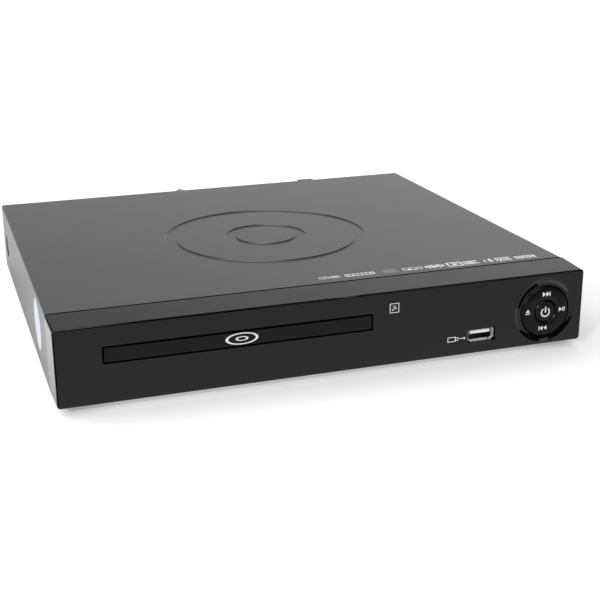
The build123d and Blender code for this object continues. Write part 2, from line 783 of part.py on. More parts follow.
# Front socket: folded shell with flared lips, tongue and contacts
usb_face = 1.4
usb_lip = 0.7
lip_depth = 1.2
with BuildPart() as usb_shell:
    with BuildSketch(upright(front_board_depth)):
        with Locations((usb_x, high(usb_height))):
            Rectangle(usb_shell_width, usb_shell_height)
    extrude(amount=front_board_depth - usb_face - lip_depth)
    with BuildSketch(upright(usb_face + lip_depth)):
        with Locations((usb_x, high(usb_height))):
            Rectangle(usb_shell_width, usb_shell_height)
    with BuildSketch(upright(usb_face)):
        with Locations((usb_x, high(usb_height))):
            Rectangle(usb_shell_width + 2 * usb_lip, usb_shell_height + 2 * usb_lip)
    loft(ruled=True)
    with BuildSketch(upright(front_board_depth - 1.0)):
        with Locations((usb_x, high(usb_height))):
            Rectangle(usb_shell_width - 2 * usb_shell_steel, usb_shell_height - 2 * usb_shell_steel)
    extrude(amount=front_board_depth - 1.0 - usb_face - lip_depth, mode=Mode.SUBTRACT)
    with BuildSketch(upright(usb_face + lip_depth)):
        with Locations((usb_x, high(usb_height))):
            Rectangle(usb_shell_width - 2 * usb_shell_steel, usb_shell_height - 2 * usb_shell_steel)
    with BuildSketch(upright(usb_face)):
        with Locations((usb_x, high(usb_height))):
            Rectangle(usb_shell_width + 2 * usb_lip - 2 * usb_shell_steel,
                      usb_shell_height + 2 * usb_lip - 2 * usb_shell_steel)
    loft(ruled=True, mode=Mode.SUBTRACT)
    slit_x = (usb_shell_width + usb_lip) / 2
    slit_z = (usb_shell_height + usb_lip) / 2
    with BuildSketch(upright(usb_face)):
        with Locations(*[(usb_x + across * slit_x, high(usb_height + upward * slit_z))
                         for across in (-1, 1) for upward in (-1, 1)]):
            Rectangle(usb_slit, usb_slit, rotation=45)
    extrude(amount=-lip_depth, mode=Mode.SUBTRACT)
usb_shell.part.label = "usb_shell"
export_step(usb_shell.part, "parts/usb_shell.step")

usb_tongue_height_place = usb_height + usb_shell_height / 2 - usb_shell_steel - 0.6 - usb_tongue_height / 2
usb_tongue_back = front_board_depth - 1.0
with BuildPart() as usb_tongue:
    with BuildSketch(upright(usb_tongue_back)):
        with Locations((usb_x, high(usb_tongue_height_place))):
            Rectangle(usb_tongue_width, usb_tongue_height)
    extrude(amount=usb_tongue_length)
    with BuildSketch(upright(usb_tongue_back)):
        with Locations((usb_x, high(usb_height))):
            Rectangle(usb_shell_width - 2 * usb_shell_steel, usb_shell_height - 2 * usb_shell_steel)
    extrude(amount=usb_base_thickness)
    tongue_tip = usb_tongue.faces().sort_by(Axis.Y)[0]
    chamfer(tongue_tip.edges().filter_by(Axis.X), usb_tongue_chamfer)
usb_tongue.part.label = "usb_tongue"
export_step(usb_tongue.part, "parts/usb_tongue.step")

with BuildPart() as usb_contacts:
    contact_under = usb_tongue_height_place - usb_tongue_height / 2
    with BuildSketch(upright(usb_tongue_back - usb_base_thickness)):
        with Locations((usb_x, high(contact_under - 0.15))):
            with GridLocations(2.3, 0, 4, 1):
                Rectangle(1.1, 0.3)
    extrude(amount=usb_tongue_length - 2.6)
usb_contacts.part.label = "usb_contacts"
export_step(usb_contacts.part, "parts/usb_contacts.step")

# Tray door
with BuildPart() as tray_door:
    with BuildSketch(upright(door_thickness)):
        with Locations((loader_x, high(door_centre_height))):
            RectangleRounded(door_width, door_height, 0.5)
    extrude(amount=door_thickness)
    door_rim = tray_door.faces().sort_by(Axis.Y)[0].edges()
    fillet(door_rim, 0.35)
    lug_places = [(lane(-45.0), high(23.4)), (lane(0.0), high(23.4)), (lane(45.0), high(23.4))]
    with BuildSketch(upright(door_thickness)):
        with Locations(*lug_places):
            Rectangle(8.0, 2.0)
    extrude(amount=-2.4)
tray_door.part.label = "tray_door"
export_step(tray_door.part, "parts/tray_door.step")

# Disc tray: skirted plate with two wells, a slot open to the rear and a rack under its left edge
rack_pitch = pi * drive_module
rack_slope = tan(radians(pressure_angle))
rack_backlash = 0.08
rack_start = 18.0
rack_end = tray_front + tray_length - 3.0
tray_rear = tray_front + tray_length
rack_root = rack_line - gear_dedendum * drive_module
rack_tip = rack_line + gear_addendum * drive_module
skirt = 2.0
bowl_radius = well_radius + tray_plate
with BuildPart() as disc_tray:
    with BuildSketch(level(tray_bottom)):
        with Locations((loader_x, back(tray_front + tray_length / 2))):
            Rectangle(2 * tray_half_width, tray_length)
    extrude(amount=tray_top - tray_bottom)
    fillet(disc_tray.edges().filter_by(Axis.Z), 1.5)
    with BuildSketch(level(tray_bottom)):
        with Locations((loader_x, back(tray_front + skirt + tray_length / 2))):
            Rectangle(2 * (tray_half_width - skirt), tray_length)
    extrude(amount=tray_top - tray_plate - tray_bottom, mode=Mode.SUBTRACT)
    with BuildSketch(level(well_floor - tray_plate)):
        with Locations((loader_x, back(disc_centre_depth))):
            Circle(bowl_radius)
    extrude(amount=tray_top - well_floor + tray_plate)
    with BuildSketch(level(small_well_floor - tray_plate)):
        with Locations((loader_x, back(disc_centre_depth))):
            Circle(small_well_radius + tray_plate)
    extrude(amount=tray_plate)
    with BuildSketch(level(well_floor)):
        with Locations((loader_x, back(disc_centre_depth))):
            Circle(well_radius)
    extrude(amount=tray_top - well_floor + 1, mode=Mode.SUBTRACT)
    with BuildSketch(level(small_well_floor)):
        with Locations((loader_x, back(disc_centre_depth))):
            Circle(small_well_radius)
    extrude(amount=tray_top - small_well_floor, mode=Mode.SUBTRACT)
    with BuildSketch(level(tray_bottom)):
        with Locations((loader_x, back(disc_centre_depth))):
            Circle(slot_half_width)
        with Locations((loader_x, back((disc_centre_depth + tray_rear) / 2 + 1))):
            Rectangle(2 * slot_half_width, tray_rear - disc_centre_depth + 2)
    extrude(amount=tray_top - tray_bottom, mode=Mode.SUBTRACT)
    with BuildSketch(level(tray_bottom)):
        with Locations((lane((-tray_half_width + skirt + rack_root) / 2 - 0.1),
                        back((rack_start + rack_end) / 2))):
            Rectangle(rack_root + tray_half_width - skirt + 0.2, rack_end - rack_start)
        tooth_count = floor((rack_end - drive_depth) / rack_pitch)
        before = floor((drive_depth - rack_start) / rack_pitch)
        for index in range(-before, tooth_count):
            centre = drive_depth + (index + 0.5) * rack_pitch
            root_half = rack_pitch / 4 - rack_backlash + gear_dedendum * drive_module * rack_slope
            tip_half = rack_pitch / 4 - rack_backlash - gear_addendum * drive_module * rack_slope
            with BuildLine():
                Polyline((lane(rack_root - 0.2), back(centre - root_half)),
                         (lane(rack_root), back(centre - root_half)),
                         (lane(rack_tip), back(centre - tip_half)),
                         (lane(rack_tip), back(centre + tip_half)),
                         (lane(rack_root), back(centre + root_half)),
                         (lane(rack_root - 0.2), back(centre + root_half)), close=True)
            make_face()
    extrude(amount=well_floor - tray_plate - tray_bottom + 0.6)
    with BuildSketch(upright(tray_front)):
        with Locations(*lug_places):
            Rectangle(8.0 + 2 * fit_gap, 2.0 + 2 * fit_gap)
    extrude(amount=-(skirt + 0.6), mode=Mode.SUBTRACT)
disc_tray.part.label = "disc_tray"
export_step(disc_tray.part, "parts/disc_tray.step")

# Loader frame: floor with openings, side walls with ledges and lips, bearings and posts
frame_inner = tray_half_width + tray_side_gap
frame_outer = frame_inner + frame_wall
frame_middle = back((frame_front + frame_rear) / 2)
ledge_top = tray_bottom - 0.2
ledge_bottom = ledge_top - 1.9
window_left = lift_left - 2.0
window_right = lift_right + 2.0
window_front = lift_front - 1.2
window_rear = lift_rear + 2.0
gear_offset = rack_line + rack_gear_teeth * drive_module / 2
pulley_offset = gear_offset + (reduction_teeth + pinion_teeth) * drive_module / 2
gear_seat = 8.0
lips = [(10.0, 36.0), (116.0, 130.0), (156.0, 172.0)]
slider_front = 46.5
slider_rear = 50.5
slider_bottom = frame_bottom + frame_floor + 0.2
slider_top = 19.0
slider_left = -38.0
slider_right = 26.0
with BuildPart() as loader_frame:
    with BuildSketch(level(frame_bottom)):
        with Locations((loader_x, back((frame_front + frame_rear) / 2))):
            Rectangle(2 * frame_outer, frame_rear - frame_front)
        with Locations((lane((window_left + window_right) / 2), back((window_front + window_rear) / 2))):
            Rectangle(window_right - window_left, window_rear - window_front, mode=Mode.SUBTRACT)
        with Locations((lane(motor_offset), back(motor_depth))):
            Circle(motor_radius + air_gap, mode=Mode.SUBTRACT)
    extrude(amount=frame_floor)
    for side in (-1, 1):
        with BuildSketch(level(frame_bottom)):
            with Locations((lane(side * (frame_inner + frame_wall / 2)), frame_middle)):
                Rectangle(frame_wall, frame_rear - frame_front)
        extrude(amount=frame_top - frame_bottom)
        with BuildSketch(level(ledge_bottom)):
            with Locations((lane(side * (frame_inner - ledge_width / 2)), frame_middle)):
                Rectangle(ledge_width, frame_rear - frame_front)
        extrude(amount=ledge_top - ledge_bottom)
        with BuildSketch(level(tray_top + air_gap)):
            for start, end in lips:
                with Locations((lane(side * (frame_inner - lip_width / 2)), back((start + end) / 2))):
                    Rectangle(lip_width, end - start)
        extrude(amount=frame_top - tray_top - air_gap)
        with BuildSketch(level(frame_bottom)):
            with Locations((lane(side * (frame_outer + 1.6)), back(70.0))):
                Rectangle(7.2 - frame_wall + 1.0, 16.0)
        extrude(amount=frame_top - frame_bottom)
        with BuildSketch(level(frame_bottom)):
            with Locations(*[(lane(x), back(depth)) for x, depth in loader_ears if x * side > 0]):
                RectangleRounded(9.0, 10.0, 2.0)
        extrude(amount=frame_floor + 0.5)
    with BuildSketch(upright(frame_rear)):
        with Locations((loader_x, high((frame_bottom + ledge_bottom) / 2))):
            Rectangle(2 * frame_outer, ledge_bottom - frame_bottom)
    extrude(amount=frame_wall)
    with BuildSketch(upright(frame_front)):
        with Locations((loader_x, high((frame_bottom + 14.0) / 2))):
            Rectangle(2 * frame_outer, 14.0 - frame_bottom)
    extrude(amount=-frame_wall)
    with BuildSketch(level(frame_bottom)):
        with Locations((lane(gear_offset), back(drive_depth)), (lane(pulley_offset), back(drive_depth))):
            Circle(axle_radius + 1.6)
    extrude(amount=gear_seat - 0.1 - frame_bottom)
    with BuildSketch(level(frame_bottom)):
        with Locations((lane(gear_offset), back(drive_depth)), (lane(pulley_offset), back(drive_depth))):
            Circle(axle_radius)
    extrude(amount=19.0 - frame_bottom)
    with BuildSketch(level(frame_bottom)):
        for depth in (slider_front - 0.7, slider_rear + 0.7):
            with Locations(*[(lane(x), back(depth)) for x in (-8.0, 8.0)]):
                Rectangle(8.0, 1.0)
    extrude(amount=6.5)
    for left, right in ((lift_left - 7.0, lift_left - 2.2), (lift_right + 2.2, lift_right + 6.5)):
        with BuildSketch(sideways(lane(left))):
            with Locations((back(pivot_depth), high((frame_bottom + pivot_height + 3.6) / 2))):
                Rectangle(8.0, pivot_height + 3.6 - frame_bottom)
            with Locations((back(pivot_depth), high(pivot_height))):
                Circle(pivot_radius + running_gap, mode=Mode.SUBTRACT)
        extrude(amount=right - left)
    with BuildSketch(level(frame_bottom)):
        with Locations(*[(lane(x), back(depth)) for x, depth in loader_ears]):
            Circle(screw_shank_radius + fit_gap)
    extrude(amount=4.0, mode=Mode.SUBTRACT)
    bridge_screws = [(side * (frame_outer + 1.8), 70.0) for side in (-1, 1)]
    with BuildSketch(level(frame_top)):
        with Locations(*[(lane(x), back(depth)) for x, depth in bridge_screws]):
            Circle(screw_shank_radius + running_gap)
    extrude(amount=-6.0, mode=Mode.SUBTRACT)
loader_frame.part.label = "loader_frame"
export_step(loader_frame.part, "parts/loader_frame.step")

# Gear train of the tray: motor pulley, belt, pulley gear and rack gear
gear_x = lane(gear_offset)
pulley_x = lane(pulley_offset)
motor_x = lane(motor_offset)
drive_y = back(drive_depth)
motor_y = back(motor_depth)
rack_gear_bottom = tray_bottom
rack_gear_top = well_floor - tray_plate - 0.35
pulley_bottom = 16.4
pulley_top = 19.2
with BuildPart() as rack_gear:
    with BuildSketch(level(gear_seat)):
        with Locations((gear_x, drive_y)):
            add(involute_teeth(reduction_teeth, drive_module, 0))
    extrude(amount=3.2)
    with BuildSketch(level(gear_seat + 3.2)):
        with Locations((gear_x, drive_y)):
            Circle(5.0)
    extrude(amount=rack_gear_bottom - gear_seat - 3.2)
    with BuildSketch(level(rack_gear_bottom)):
        with Locations((gear_x, drive_y)):
            add(involute_teeth(rack_gear_teeth, drive_module, 0))
    extrude(amount=rack_gear_top - rack_gear_bottom)
    with BuildSketch(level(gear_seat)):
        with Locations((gear_x, drive_y)):
            Circle(axle_radius + running_gap)
    extrude(amount=19.1 - gear_seat, mode=Mode.SUBTRACT)
rack_gear.part.label = "rack_gear"
export_step(rack_gear.part, "parts/rack_gear.step")

groove = belt_size / 2
belt_height = (pulley_bottom + pulley_top) / 2
belt_seat = pulley_radius - groove - running_gap
pulley_rim = pulley_radius + groove + 0.5
motor_belt_seat = motor_pulley_radius - groove - running_gap
motor_pulley_rim = motor_pulley_radius + groove + 0.4
with BuildPart() as pulley_gear:
    with BuildSketch(level(gear_seat)):
        with Locations((pulley_x, drive_y)):
            add(involute_teeth(pinion_teeth, drive_module, 180 / pinion_teeth))
    extrude(amount=4.0)
    with BuildSketch(Plane(origin=(pulley_x, drive_y, high(0)), x_dir=(1, 0, 0), z_dir=(0, -1, 0))):
        with BuildLine():
            Polyline((0, gear_seat + 4.0), (4.4, gear_seat + 4.0), (4.4, pulley_bottom),
                     (pulley_rim, pulley_bottom), (pulley_rim, pulley_bottom + 0.5),
                     (belt_seat, belt_height - groove), (belt_seat, belt_height + groove),
                     (pulley_rim, pulley_top - 0.5), (pulley_rim, pulley_top), (0, pulley_top), close=True)
        make_face()
    revolve(axis=Axis((pulley_x, drive_y, 0), (0, 0, 1)))
    with BuildSketch(level(gear_seat)):
        with Locations((pulley_x, drive_y)):
            Circle(axle_radius + running_gap)
    extrude(amount=19.3 - gear_seat, mode=Mode.SUBTRACT)
pulley_gear.part.label = "pulley_gear"
export_step(pulley_gear.part, "parts/pulley_gear.step")

with BuildPart() as motor_pulley:
    with BuildSketch(Plane(origin=(motor_x, motor_y, high(0)), x_dir=(1, 0, 0), z_dir=(0, -1, 0))):
        with BuildLine():
            Polyline((1.0, pulley_bottom), (motor_pulley_rim, pulley_bottom),
                     (motor_belt_seat, belt_height - groove), (motor_belt_seat, belt_height + groove),
                     (motor_pulley_rim, pulley_top), (1.0, pulley_top), close=True)
        make_face()
    revolve(axis=Axis((motor_x, motor_y, 0), (0, 0, 1)))
    with BuildSketch(level(15.8)):
        with Locations((motor_x, motor_y)):
            Circle(1.0)
    extrude(amount=pulley_top - 15.8)
motor_pulley.part.label = "motor_pulley"
export_step(motor_pulley.part, "parts/motor_pulley.step")


def belt_point(x, y, radius, angle):
    """Point of the belt's middle line on a pulley, at an angle round it."""
    return (x + radius * cos(angle), y + radius * sin(angle), high(belt_height))


span = hypot(motor_x - pulley_x, motor_y - drive_y)
span_angle = atan2(motor_y - drive_y, motor_x - pulley_x)
wrap = acos((pulley_radius - motor_pulley_radius) / span)
upper = span_angle + wrap
lower = span_angle - wrap
with BuildPart() as drive_belt:
    with BuildLine() as belt_line:
        ThreePointArc(belt_point(pulley_x, drive_y, pulley_radius, upper),
                      belt_point(pulley_x, drive_y, pulley_radius, span_angle + pi),
                      belt_point(pulley_x, drive_y, pulley_radius, lower))
        Line(belt_point(pulley_x, drive_y, pulley_radius, lower),
             belt_point(motor_x, motor_y, motor_pulley_radius, lower))
        ThreePointArc(belt_point(motor_x, motor_y, motor_pulley_radius, lower),
                      belt_point(motor_x, motor_y, motor_pulley_radius, span_angle),
                      belt_point(motor_x, motor_y, motor_pulley_radius, upper))
        Line(belt_point(motor_x, motor_y, motor_pulley_radius, upper),
             belt_point(pulley_x, drive_y, pulley_radius, upper))
    with BuildSketch(Plane(origin=belt_line.wire() @ 0, z_dir=belt_line.wire() % 0)):
        Rectangle(belt_size, belt_size)
    sweep(path=belt_line.wire())
drive_belt.part.label = "drive_belt"
export_step(drive_belt.part, "parts/drive_belt.step")

with BuildPart() as loading_motor:
    with BuildSketch(level(3.2)):
        with Locations((motor_x, motor_y)):
            Circle(motor_radius)
    extrude(amount=12.0)
    fillet(loading_motor.edges().filter_by(GeomType.CIRCLE), 0.8)
    with BuildSketch(level(15.2)):
        with Locations((motor_x, motor_y)):
            Circle(3.0)
    extrude(amount=0.5)
    with BuildSketch(level(frame_bottom + frame_floor)):
        with Locations((motor_x, motor_y)):
            Circle(motor_radius + 2.2)
            Circle(motor_radius - 1.0, mode=Mode.SUBTRACT)
    extrude(amount=0.8)
loading_motor.part.label = "loading_motor"
export_step(loading_motor.part, "parts/loading_motor.step")

# Cam slider: a bar with two sloping slots that carry the lifting frame's pins
pin_y = (slider_front + slider_rear) / 2
lift_drop = (pivot_depth - pin_y) * sin(radians(lift_angle))
with BuildPart() as cam_slider:
    with BuildSketch(upright(slider_front)):
        with Locations((lane((slider_left + slider_right) / 2), high((slider_bottom + slider_top) / 2))):
            RectangleRounded(slider_right - slider_left, slider_top - slider_bottom, 1.0)
        slot_width = 2 * lift_pin_radius + 0.5
        run = hypot(cam_travel, lift_drop)
        for x in (-lift_pin_offset, lift_pin_offset):
            with Locations((lane(x - cam_travel / 2), high(lift_pin_height - lift_drop / 2))):
                SlotCenterToCenter(run + 0.6, slot_width, rotation=degrees(atan2(lift_drop, cam_travel)),
                                   mode=Mode.SUBTRACT)
        with Locations((lane(-8.0), high(9.5))):
            RectangleRounded(9.0, 4.0, 1.0, mode=Mode.SUBTRACT)
    extrude(amount=-(slider_rear - slider_front))
cam_slider.part.label = "cam_slider"
export_step(cam_slider.part, "parts/cam_slider.step")

# Lifting frame with its pivots, cam pins and grommet posts
grommet_places = [(x, depth) for x in (lift_left + 4.6, lift_right - 4.6)
                  for depth in (lift_front + 7.0, lift_rear - 16.0)]
with BuildPart() as lift_frame:
    with BuildSketch(level(lift_bottom)):
        with Locations((lane((lift_left + lift_right) / 2), back((lift_front + lift_rear) / 2))):
            RectangleRounded(lift_right - lift_left, lift_rear - lift_front, 3.0)
            Rectangle(lift_right - lift_left - 2 * lift_rim, lift_rear - lift_front - 2 * lift_rim,
                      mode=Mode.SUBTRACT)
    extrude(amount=lift_top - lift_bottom)
    with BuildSketch(upright(lift_front)):
        with Locations((loader_x, high((lift_bottom + 18.2) / 2))):
            Rectangle(2 * lift_pin_offset + 8.0, 18.2 - lift_bottom)
    extrude(amount=-2.2)
    with BuildSketch(upright(lift_front + 1.0)):
        with Locations(*[(lane(x), high(lift_pin_height)) for x in (-lift_pin_offset, lift_pin_offset)]):
            Circle(lift_pin_radius)
    extrude(amount=lift_front + 1.0 - slider_front - 0.4)
    for x, reach in ((lift_left + 1.0, -5.6), (lift_right - 1.0, 5.6)):
        with BuildSketch(sideways(lane(x))):
            with Locations((back(pivot_depth), high(pivot_height))):
                Circle(pivot_radius)
        extrude(amount=reach)
    with BuildSketch(level(lift_top)):
        with Locations(*[(lane(x), back(depth)) for x, depth in grommet_places]):
            Circle(grommet_post_radius)
    extrude(amount=4.2)
lift_frame.part.label = "lift_frame"
export_step(lift_frame.part, "parts/lift_frame.step")

# Rubber grommets between the lifting frame and the traverse plate
plate_top = plate_bottom + plate_steel
grommet_bore = grommet_post_radius + running_gap
grommet_waist = grommet_radius - grommet_neck
grommet_top = plate_top + grommet_flange
with BuildPart() as grommets:
    for x, depth in grommet_places:
        with BuildSketch(Plane(origin=(lane(x), back(depth), high(0)), x_dir=(1, 0, 0), z_dir=(0, -1, 0))):
            with BuildLine():
                Polyline((grommet_bore, lift_top), (grommet_radius, lift_top),
                         (grommet_radius, plate_bottom), (grommet_waist, plate_bottom),
                         (grommet_waist, plate_top), (grommet_radius, plate_top),
                         (grommet_radius, grommet_top), (grommet_bore, grommet_top), close=True)
            make_face()
        revolve(axis=Axis((lane(x), back(depth), 0), (0, 0, 1)))
grommets.part.label = "grommets"
export_step(grommets.part, "parts/grommets.step")

# Traverse plate
sled_x = lane(sled_rack_line + sled_module * sled_gear_teeth / 2)
sled_y = back(sled_gear_depth)
sled_motor_y = back(sled_gear_depth - (sled_wheel_teeth + sled_pinion_teeth) * sled_module / 2)
sled_axle_radius = 1.5
with BuildPart() as traverse_plate:
    with BuildSketch(level(plate_bottom)):
        plate_middle = back((lift_front + 3.0 + lift_rear - 12.0) / 2)
        with Locations((lane((lift_left + lift_right) / 2), plate_middle)):
            RectangleRounded(lift_right - lift_left - 0.6, lift_rear - lift_front - 15.0, 4.0)
        with Locations((lane(0), back((rod_front + 2.5 + rod_rear - 2.5) / 2))):
            Rectangle(2 * (rod_offset + 3.0), rod_rear - rod_front - 5.0, mode=Mode.SUBTRACT)
        with Locations(*[(lane(x), back(depth)) for x, depth in grommet_places]):
            Circle(grommet_radius - grommet_neck + running_gap, mode=Mode.SUBTRACT)
        with Locations((sled_x, sled_motor_y)):
            Circle(3.0, mode=Mode.SUBTRACT)
        with Locations((lane(0), back(disc_centre_depth))):
            Circle(3.2, mode=Mode.SUBTRACT)
    extrude(amount=plate_steel)
    with BuildSketch(level(plate_bottom)):
        with Locations((sled_x, sled_y)):
            Circle(sled_axle_radius)
    extrude(amount=5.4)
    for depth in (rod_front - 2.0, rod_rear + 2.0):
        with BuildSketch(upright(depth + 2.0)):
            with Locations(*[(lane(x), high((plate_bottom + rod_height + 2.4) / 2))
                             for x in (-rod_offset, rod_offset)]):
                Rectangle(2 * rod_radius + 1.8, rod_height + 2.4 - plate_bottom)
            with Locations(*[(lane(x), high(rod_height)) for x in (-rod_offset, rod_offset)]):
                Circle(rod_radius + running_gap, mode=Mode.SUBTRACT)
        extrude(amount=4.0)
traverse_plate.part.label = "traverse_plate"
export_step(traverse_plate.part, "parts/traverse_plate.step")

# Guide rods of the pickup
with BuildPart() as guide_rods:
    with BuildSketch(upright(rod_rear + 3.5)):
        with Locations(*[(lane(x), high(rod_height)) for x in (-rod_offset, rod_offset)]):
            Circle(rod_radius)
    extrude(amount=rod_rear - rod_front + 7.0)
guide_rods.part.label = "guide_rods"
export_step(guide_rods.part, "parts/guide_rods.step")

# Spindle motor base, rotor cup and turntable
with BuildPart() as spindle_base:
    with BuildSketch(level(plate_top)):
        with Locations((lane(0), back(disc_centre_depth))):
            RectangleRounded(30.0, 25.0, 2.0)
    extrude(amount=0.9)
    with BuildSketch(level(plate_top)):
        with Locations((lane(0), back(disc_centre_depth))):
            Circle(3.0)
    extrude(amount=5.0)
    with BuildSketch(level(plate_top)):
        with Locations((lane(0), back(disc_centre_depth))):
            Circle(shaft_radius + running_gap)
    extrude(amount=5.0, mode=Mode.SUBTRACT)
spindle_base.part.label = "spindle_base"
export_step(spindle_base.part, "parts/spindle_base.step")

rotor_bottom = plate_top + 0.9 + 0.3
rotor_top = 22.9
with BuildPart() as spindle_rotor:
    with BuildSketch(level(rotor_bottom)):
        with Locations((lane(0), back(disc_centre_depth))):
            Circle(rotor_radius)
    extrude(amount=rotor_top - rotor_bottom)
    fillet(spindle_rotor.edges().filter_by(GeomType.CIRCLE).sort_by(Axis.Z)[-1], 0.8)
    with BuildSketch(level(rotor_bottom)):
        with Locations((lane(0), back(disc_centre_depth))):
            Circle(rotor_radius - 0.8)
    extrude(amount=rotor_top - rotor_bottom - 0.8, mode=Mode.SUBTRACT)
    with BuildSketch(level(plate_top + 0.2)):
        with Locations((lane(0), back(disc_centre_depth))):
            Circle(shaft_radius)
    extrude(amount=26.5 - plate_top - 0.2)
spindle_rotor.part.label = "spindle_rotor"
export_step(spindle_rotor.part, "parts/spindle_rotor.step")

spindle_section = Plane(origin=(lane(0), back(disc_centre_depth), high(0)), x_dir=(1, 0, 0),
                        z_dir=(0, -1, 0))
with BuildPart() as turntable:
    with BuildSketch(spindle_section):
        with BuildLine():
            Polyline((shaft_radius, rotor_top), (turntable_radius, rotor_top),
                     (turntable_radius, disc_plane), (hub_radius, disc_plane),
                     (hub_radius, disc_plane + 1.2), (hub_radius - 2.0, disc_plane + 2.6),
                     (shaft_radius, disc_plane + 2.6), close=True)
        make_face()
    revolve(axis=Axis((lane(0), back(disc_centre_depth), 0), (0, 0, 1)))
turntable.part.label = "turntable"
export_step(turntable.part, "parts/turntable.step")

# Optical pickup: body between the rods, bearings, rack on its right side, lens holder and lens
lens_depth = disc_centre_depth + lens_inner
pickup_front = lens_depth - 9.0
pickup_rear = lens_depth + 16.0
with BuildPart() as pickup_body:
    with BuildSketch(level(12.6)):
        with Locations((lane(0), back((pickup_front + pickup_rear) / 2))):
            RectangleRounded(2 * pickup_half_width, pickup_rear - pickup_front, 2.0)
    extrude(amount=20.4 - 12.6)
    with BuildSketch(level(20.4)):
        with Locations((lane(0), back(lens_depth))):
            RectangleRounded(20.0, 13.0, 1.5)
    extrude(amount=2.8)
    with BuildSketch(level(rod_height - 2.2)):
        for side in (-1, 1):
            with Locations(*[(lane(side * (pickup_half_width + 2.8)), back(depth))
                             for depth in (pickup_front + 3.0, pickup_rear - 3.0)]):
                Rectangle(6.4, 6.0)
    extrude(amount=4.2)
    with BuildSketch(upright(pickup_rear + 1)):
        with Locations(*[(lane(side * rod_offset), high(rod_height)) for side in (-1, 1)]):
            Circle(rod_radius + running_gap)
    extrude(amount=pickup_rear - pickup_front + 2, mode=Mode.SUBTRACT)
pickup_body.part.label = "pickup_body"
export_step(pickup_body.part, "parts/pickup_body.step")

sled_pitch = pi * sled_module
sled_root = sled_rack_line - gear_dedendum * sled_module
sled_tip = sled_rack_line + gear_addendum * sled_module
sled_rack_edge = pickup_half_width + 6.1
sled_rack_rear = sled_gear_depth + 5.0
sled_rack_front = sled_gear_depth - pickup_travel - 4.5
sled_rack_bottom = 17.6
sled_rack_top = 19.4
with BuildPart() as sled_rack:
    with BuildSketch(level(sled_rack_bottom)):
        with Locations((lane((sled_rack_edge + sled_root) / 2),
                        back((sled_rack_front + sled_rack_rear) / 2))):
            Rectangle(sled_root - sled_rack_edge, sled_rack_rear - sled_rack_front)
        ahead = floor((sled_rack_rear - sled_gear_depth) / sled_pitch)
        behind = floor((sled_gear_depth - sled_rack_front) / sled_pitch)
        for index in range(-behind, ahead):
            centre = sled_gear_depth + (index + 0.5) * sled_pitch
            root_half = sled_pitch / 4 - rack_backlash + gear_dedendum * sled_module * rack_slope
            tip_half = sled_pitch / 4 - rack_backlash - gear_addendum * sled_module * rack_slope
            with BuildLine():
                Polyline((lane(sled_root - 0.2), back(centre - root_half)),
                         (lane(sled_root), back(centre - root_half)),
                         (lane(sled_tip), back(centre - tip_half)),
                         (lane(sled_tip), back(centre + tip_half)),
                         (lane(sled_root), back(centre + root_half)),
                         (lane(sled_root - 0.2), back(centre + root_half)), close=True)
            make_face()
    extrude(amount=sled_rack_top - sled_rack_bottom)
sled_rack.part.label = "sled_rack"
export_step(sled_rack.part, "parts/sled_rack.step")

lens_radius = 2.3
lens_rim_radius = 3.2
lens_rim = 0.35
lens_crown = 0.55
lens_bottom = 23.2
lens_curve = (lens_radius ** 2 + lens_crown ** 2) / (2 * lens_crown)
lens_angle = degrees(asin(lens_radius / lens_curve))
lens_section = Plane(origin=(lane(0), back(lens_depth), high(lens_bottom)), x_dir=(1, 0, 0),
                     z_dir=(0, -1, 0))
with BuildPart() as objective_lens:
    with BuildSketch(lens_section):
        with BuildLine():
            Polyline((0, lens_rim + lens_crown), (0, 0), (lens_rim_radius, 0),
                     (lens_rim_radius, lens_rim), (lens_radius, lens_rim))
            CenterArc((0, lens_rim + lens_crown - lens_curve), lens_curve, 90 - lens_angle, lens_angle)
        make_face()
    revolve(axis=Axis((lane(0), back(lens_depth), 0), (0, 0, 1)))
objective_lens.part.label = "objective_lens"
export_step(objective_lens.part, "parts/objective_lens.step")

# Sled drive
with BuildPart() as sled_gear:
    with BuildSketch(level(plate_top + 0.3)):
        with Locations((sled_x, sled_y)):
            add(involute_teeth(sled_wheel_teeth, sled_module, 270))
    extrude(amount=1.8)
    with BuildSketch(level(plate_top + 2.1)):
        with Locations((sled_x, sled_y)):
            add(involute_teeth(sled_gear_teeth, sled_module, 180))
    extrude(amount=sled_rack_top - plate_top - 2.1)
    with BuildSketch(level(plate_top)):
        with Locations((sled_x, sled_y)):
            Circle(sled_axle_radius + running_gap)
    extrude(amount=8.0, mode=Mode.SUBTRACT)
sled_gear.part.label = "sled_gear"
export_step(sled_gear.part, "parts/sled_gear.step")

with BuildPart() as sled_pinion:
    with BuildSketch(level(plate_top + 0.3)):
        with Locations((sled_x, sled_motor_y)):
            add(involute_teeth(sled_pinion_teeth, sled_module, 90 + 180 / sled_pinion_teeth))
    extrude(amount=1.9)
    with BuildSketch(level(plate_bottom - 1.0)):
        with Locations((sled_x, sled_motor_y)):
            Circle(0.9)
    extrude(amount=4.0)
sled_pinion.part.label = "sled_pinion"
export_step(sled_pinion.part, "parts/sled_pinion.step")

with BuildPart() as sled_motor:
    with BuildSketch(level(6.0)):
        with Locations((sled_x, sled_motor_y)):
            Circle(sled_motor_radius)
    extrude(amount=plate_bottom - 6.0)
    fillet(sled_motor.edges().filter_by(GeomType.CIRCLE).sort_by(Axis.Z)[0], 0.8)
    with BuildSketch(level(plate_bottom)):
        with Locations((sled_x, sled_motor_y)):
            Circle(0.9 + running_gap)
    extrude(amount=-1.2, mode=Mode.SUBTRACT)
sled_motor.part.label = "sled_motor"
export_step(sled_motor.part, "parts/sled_motor.step")

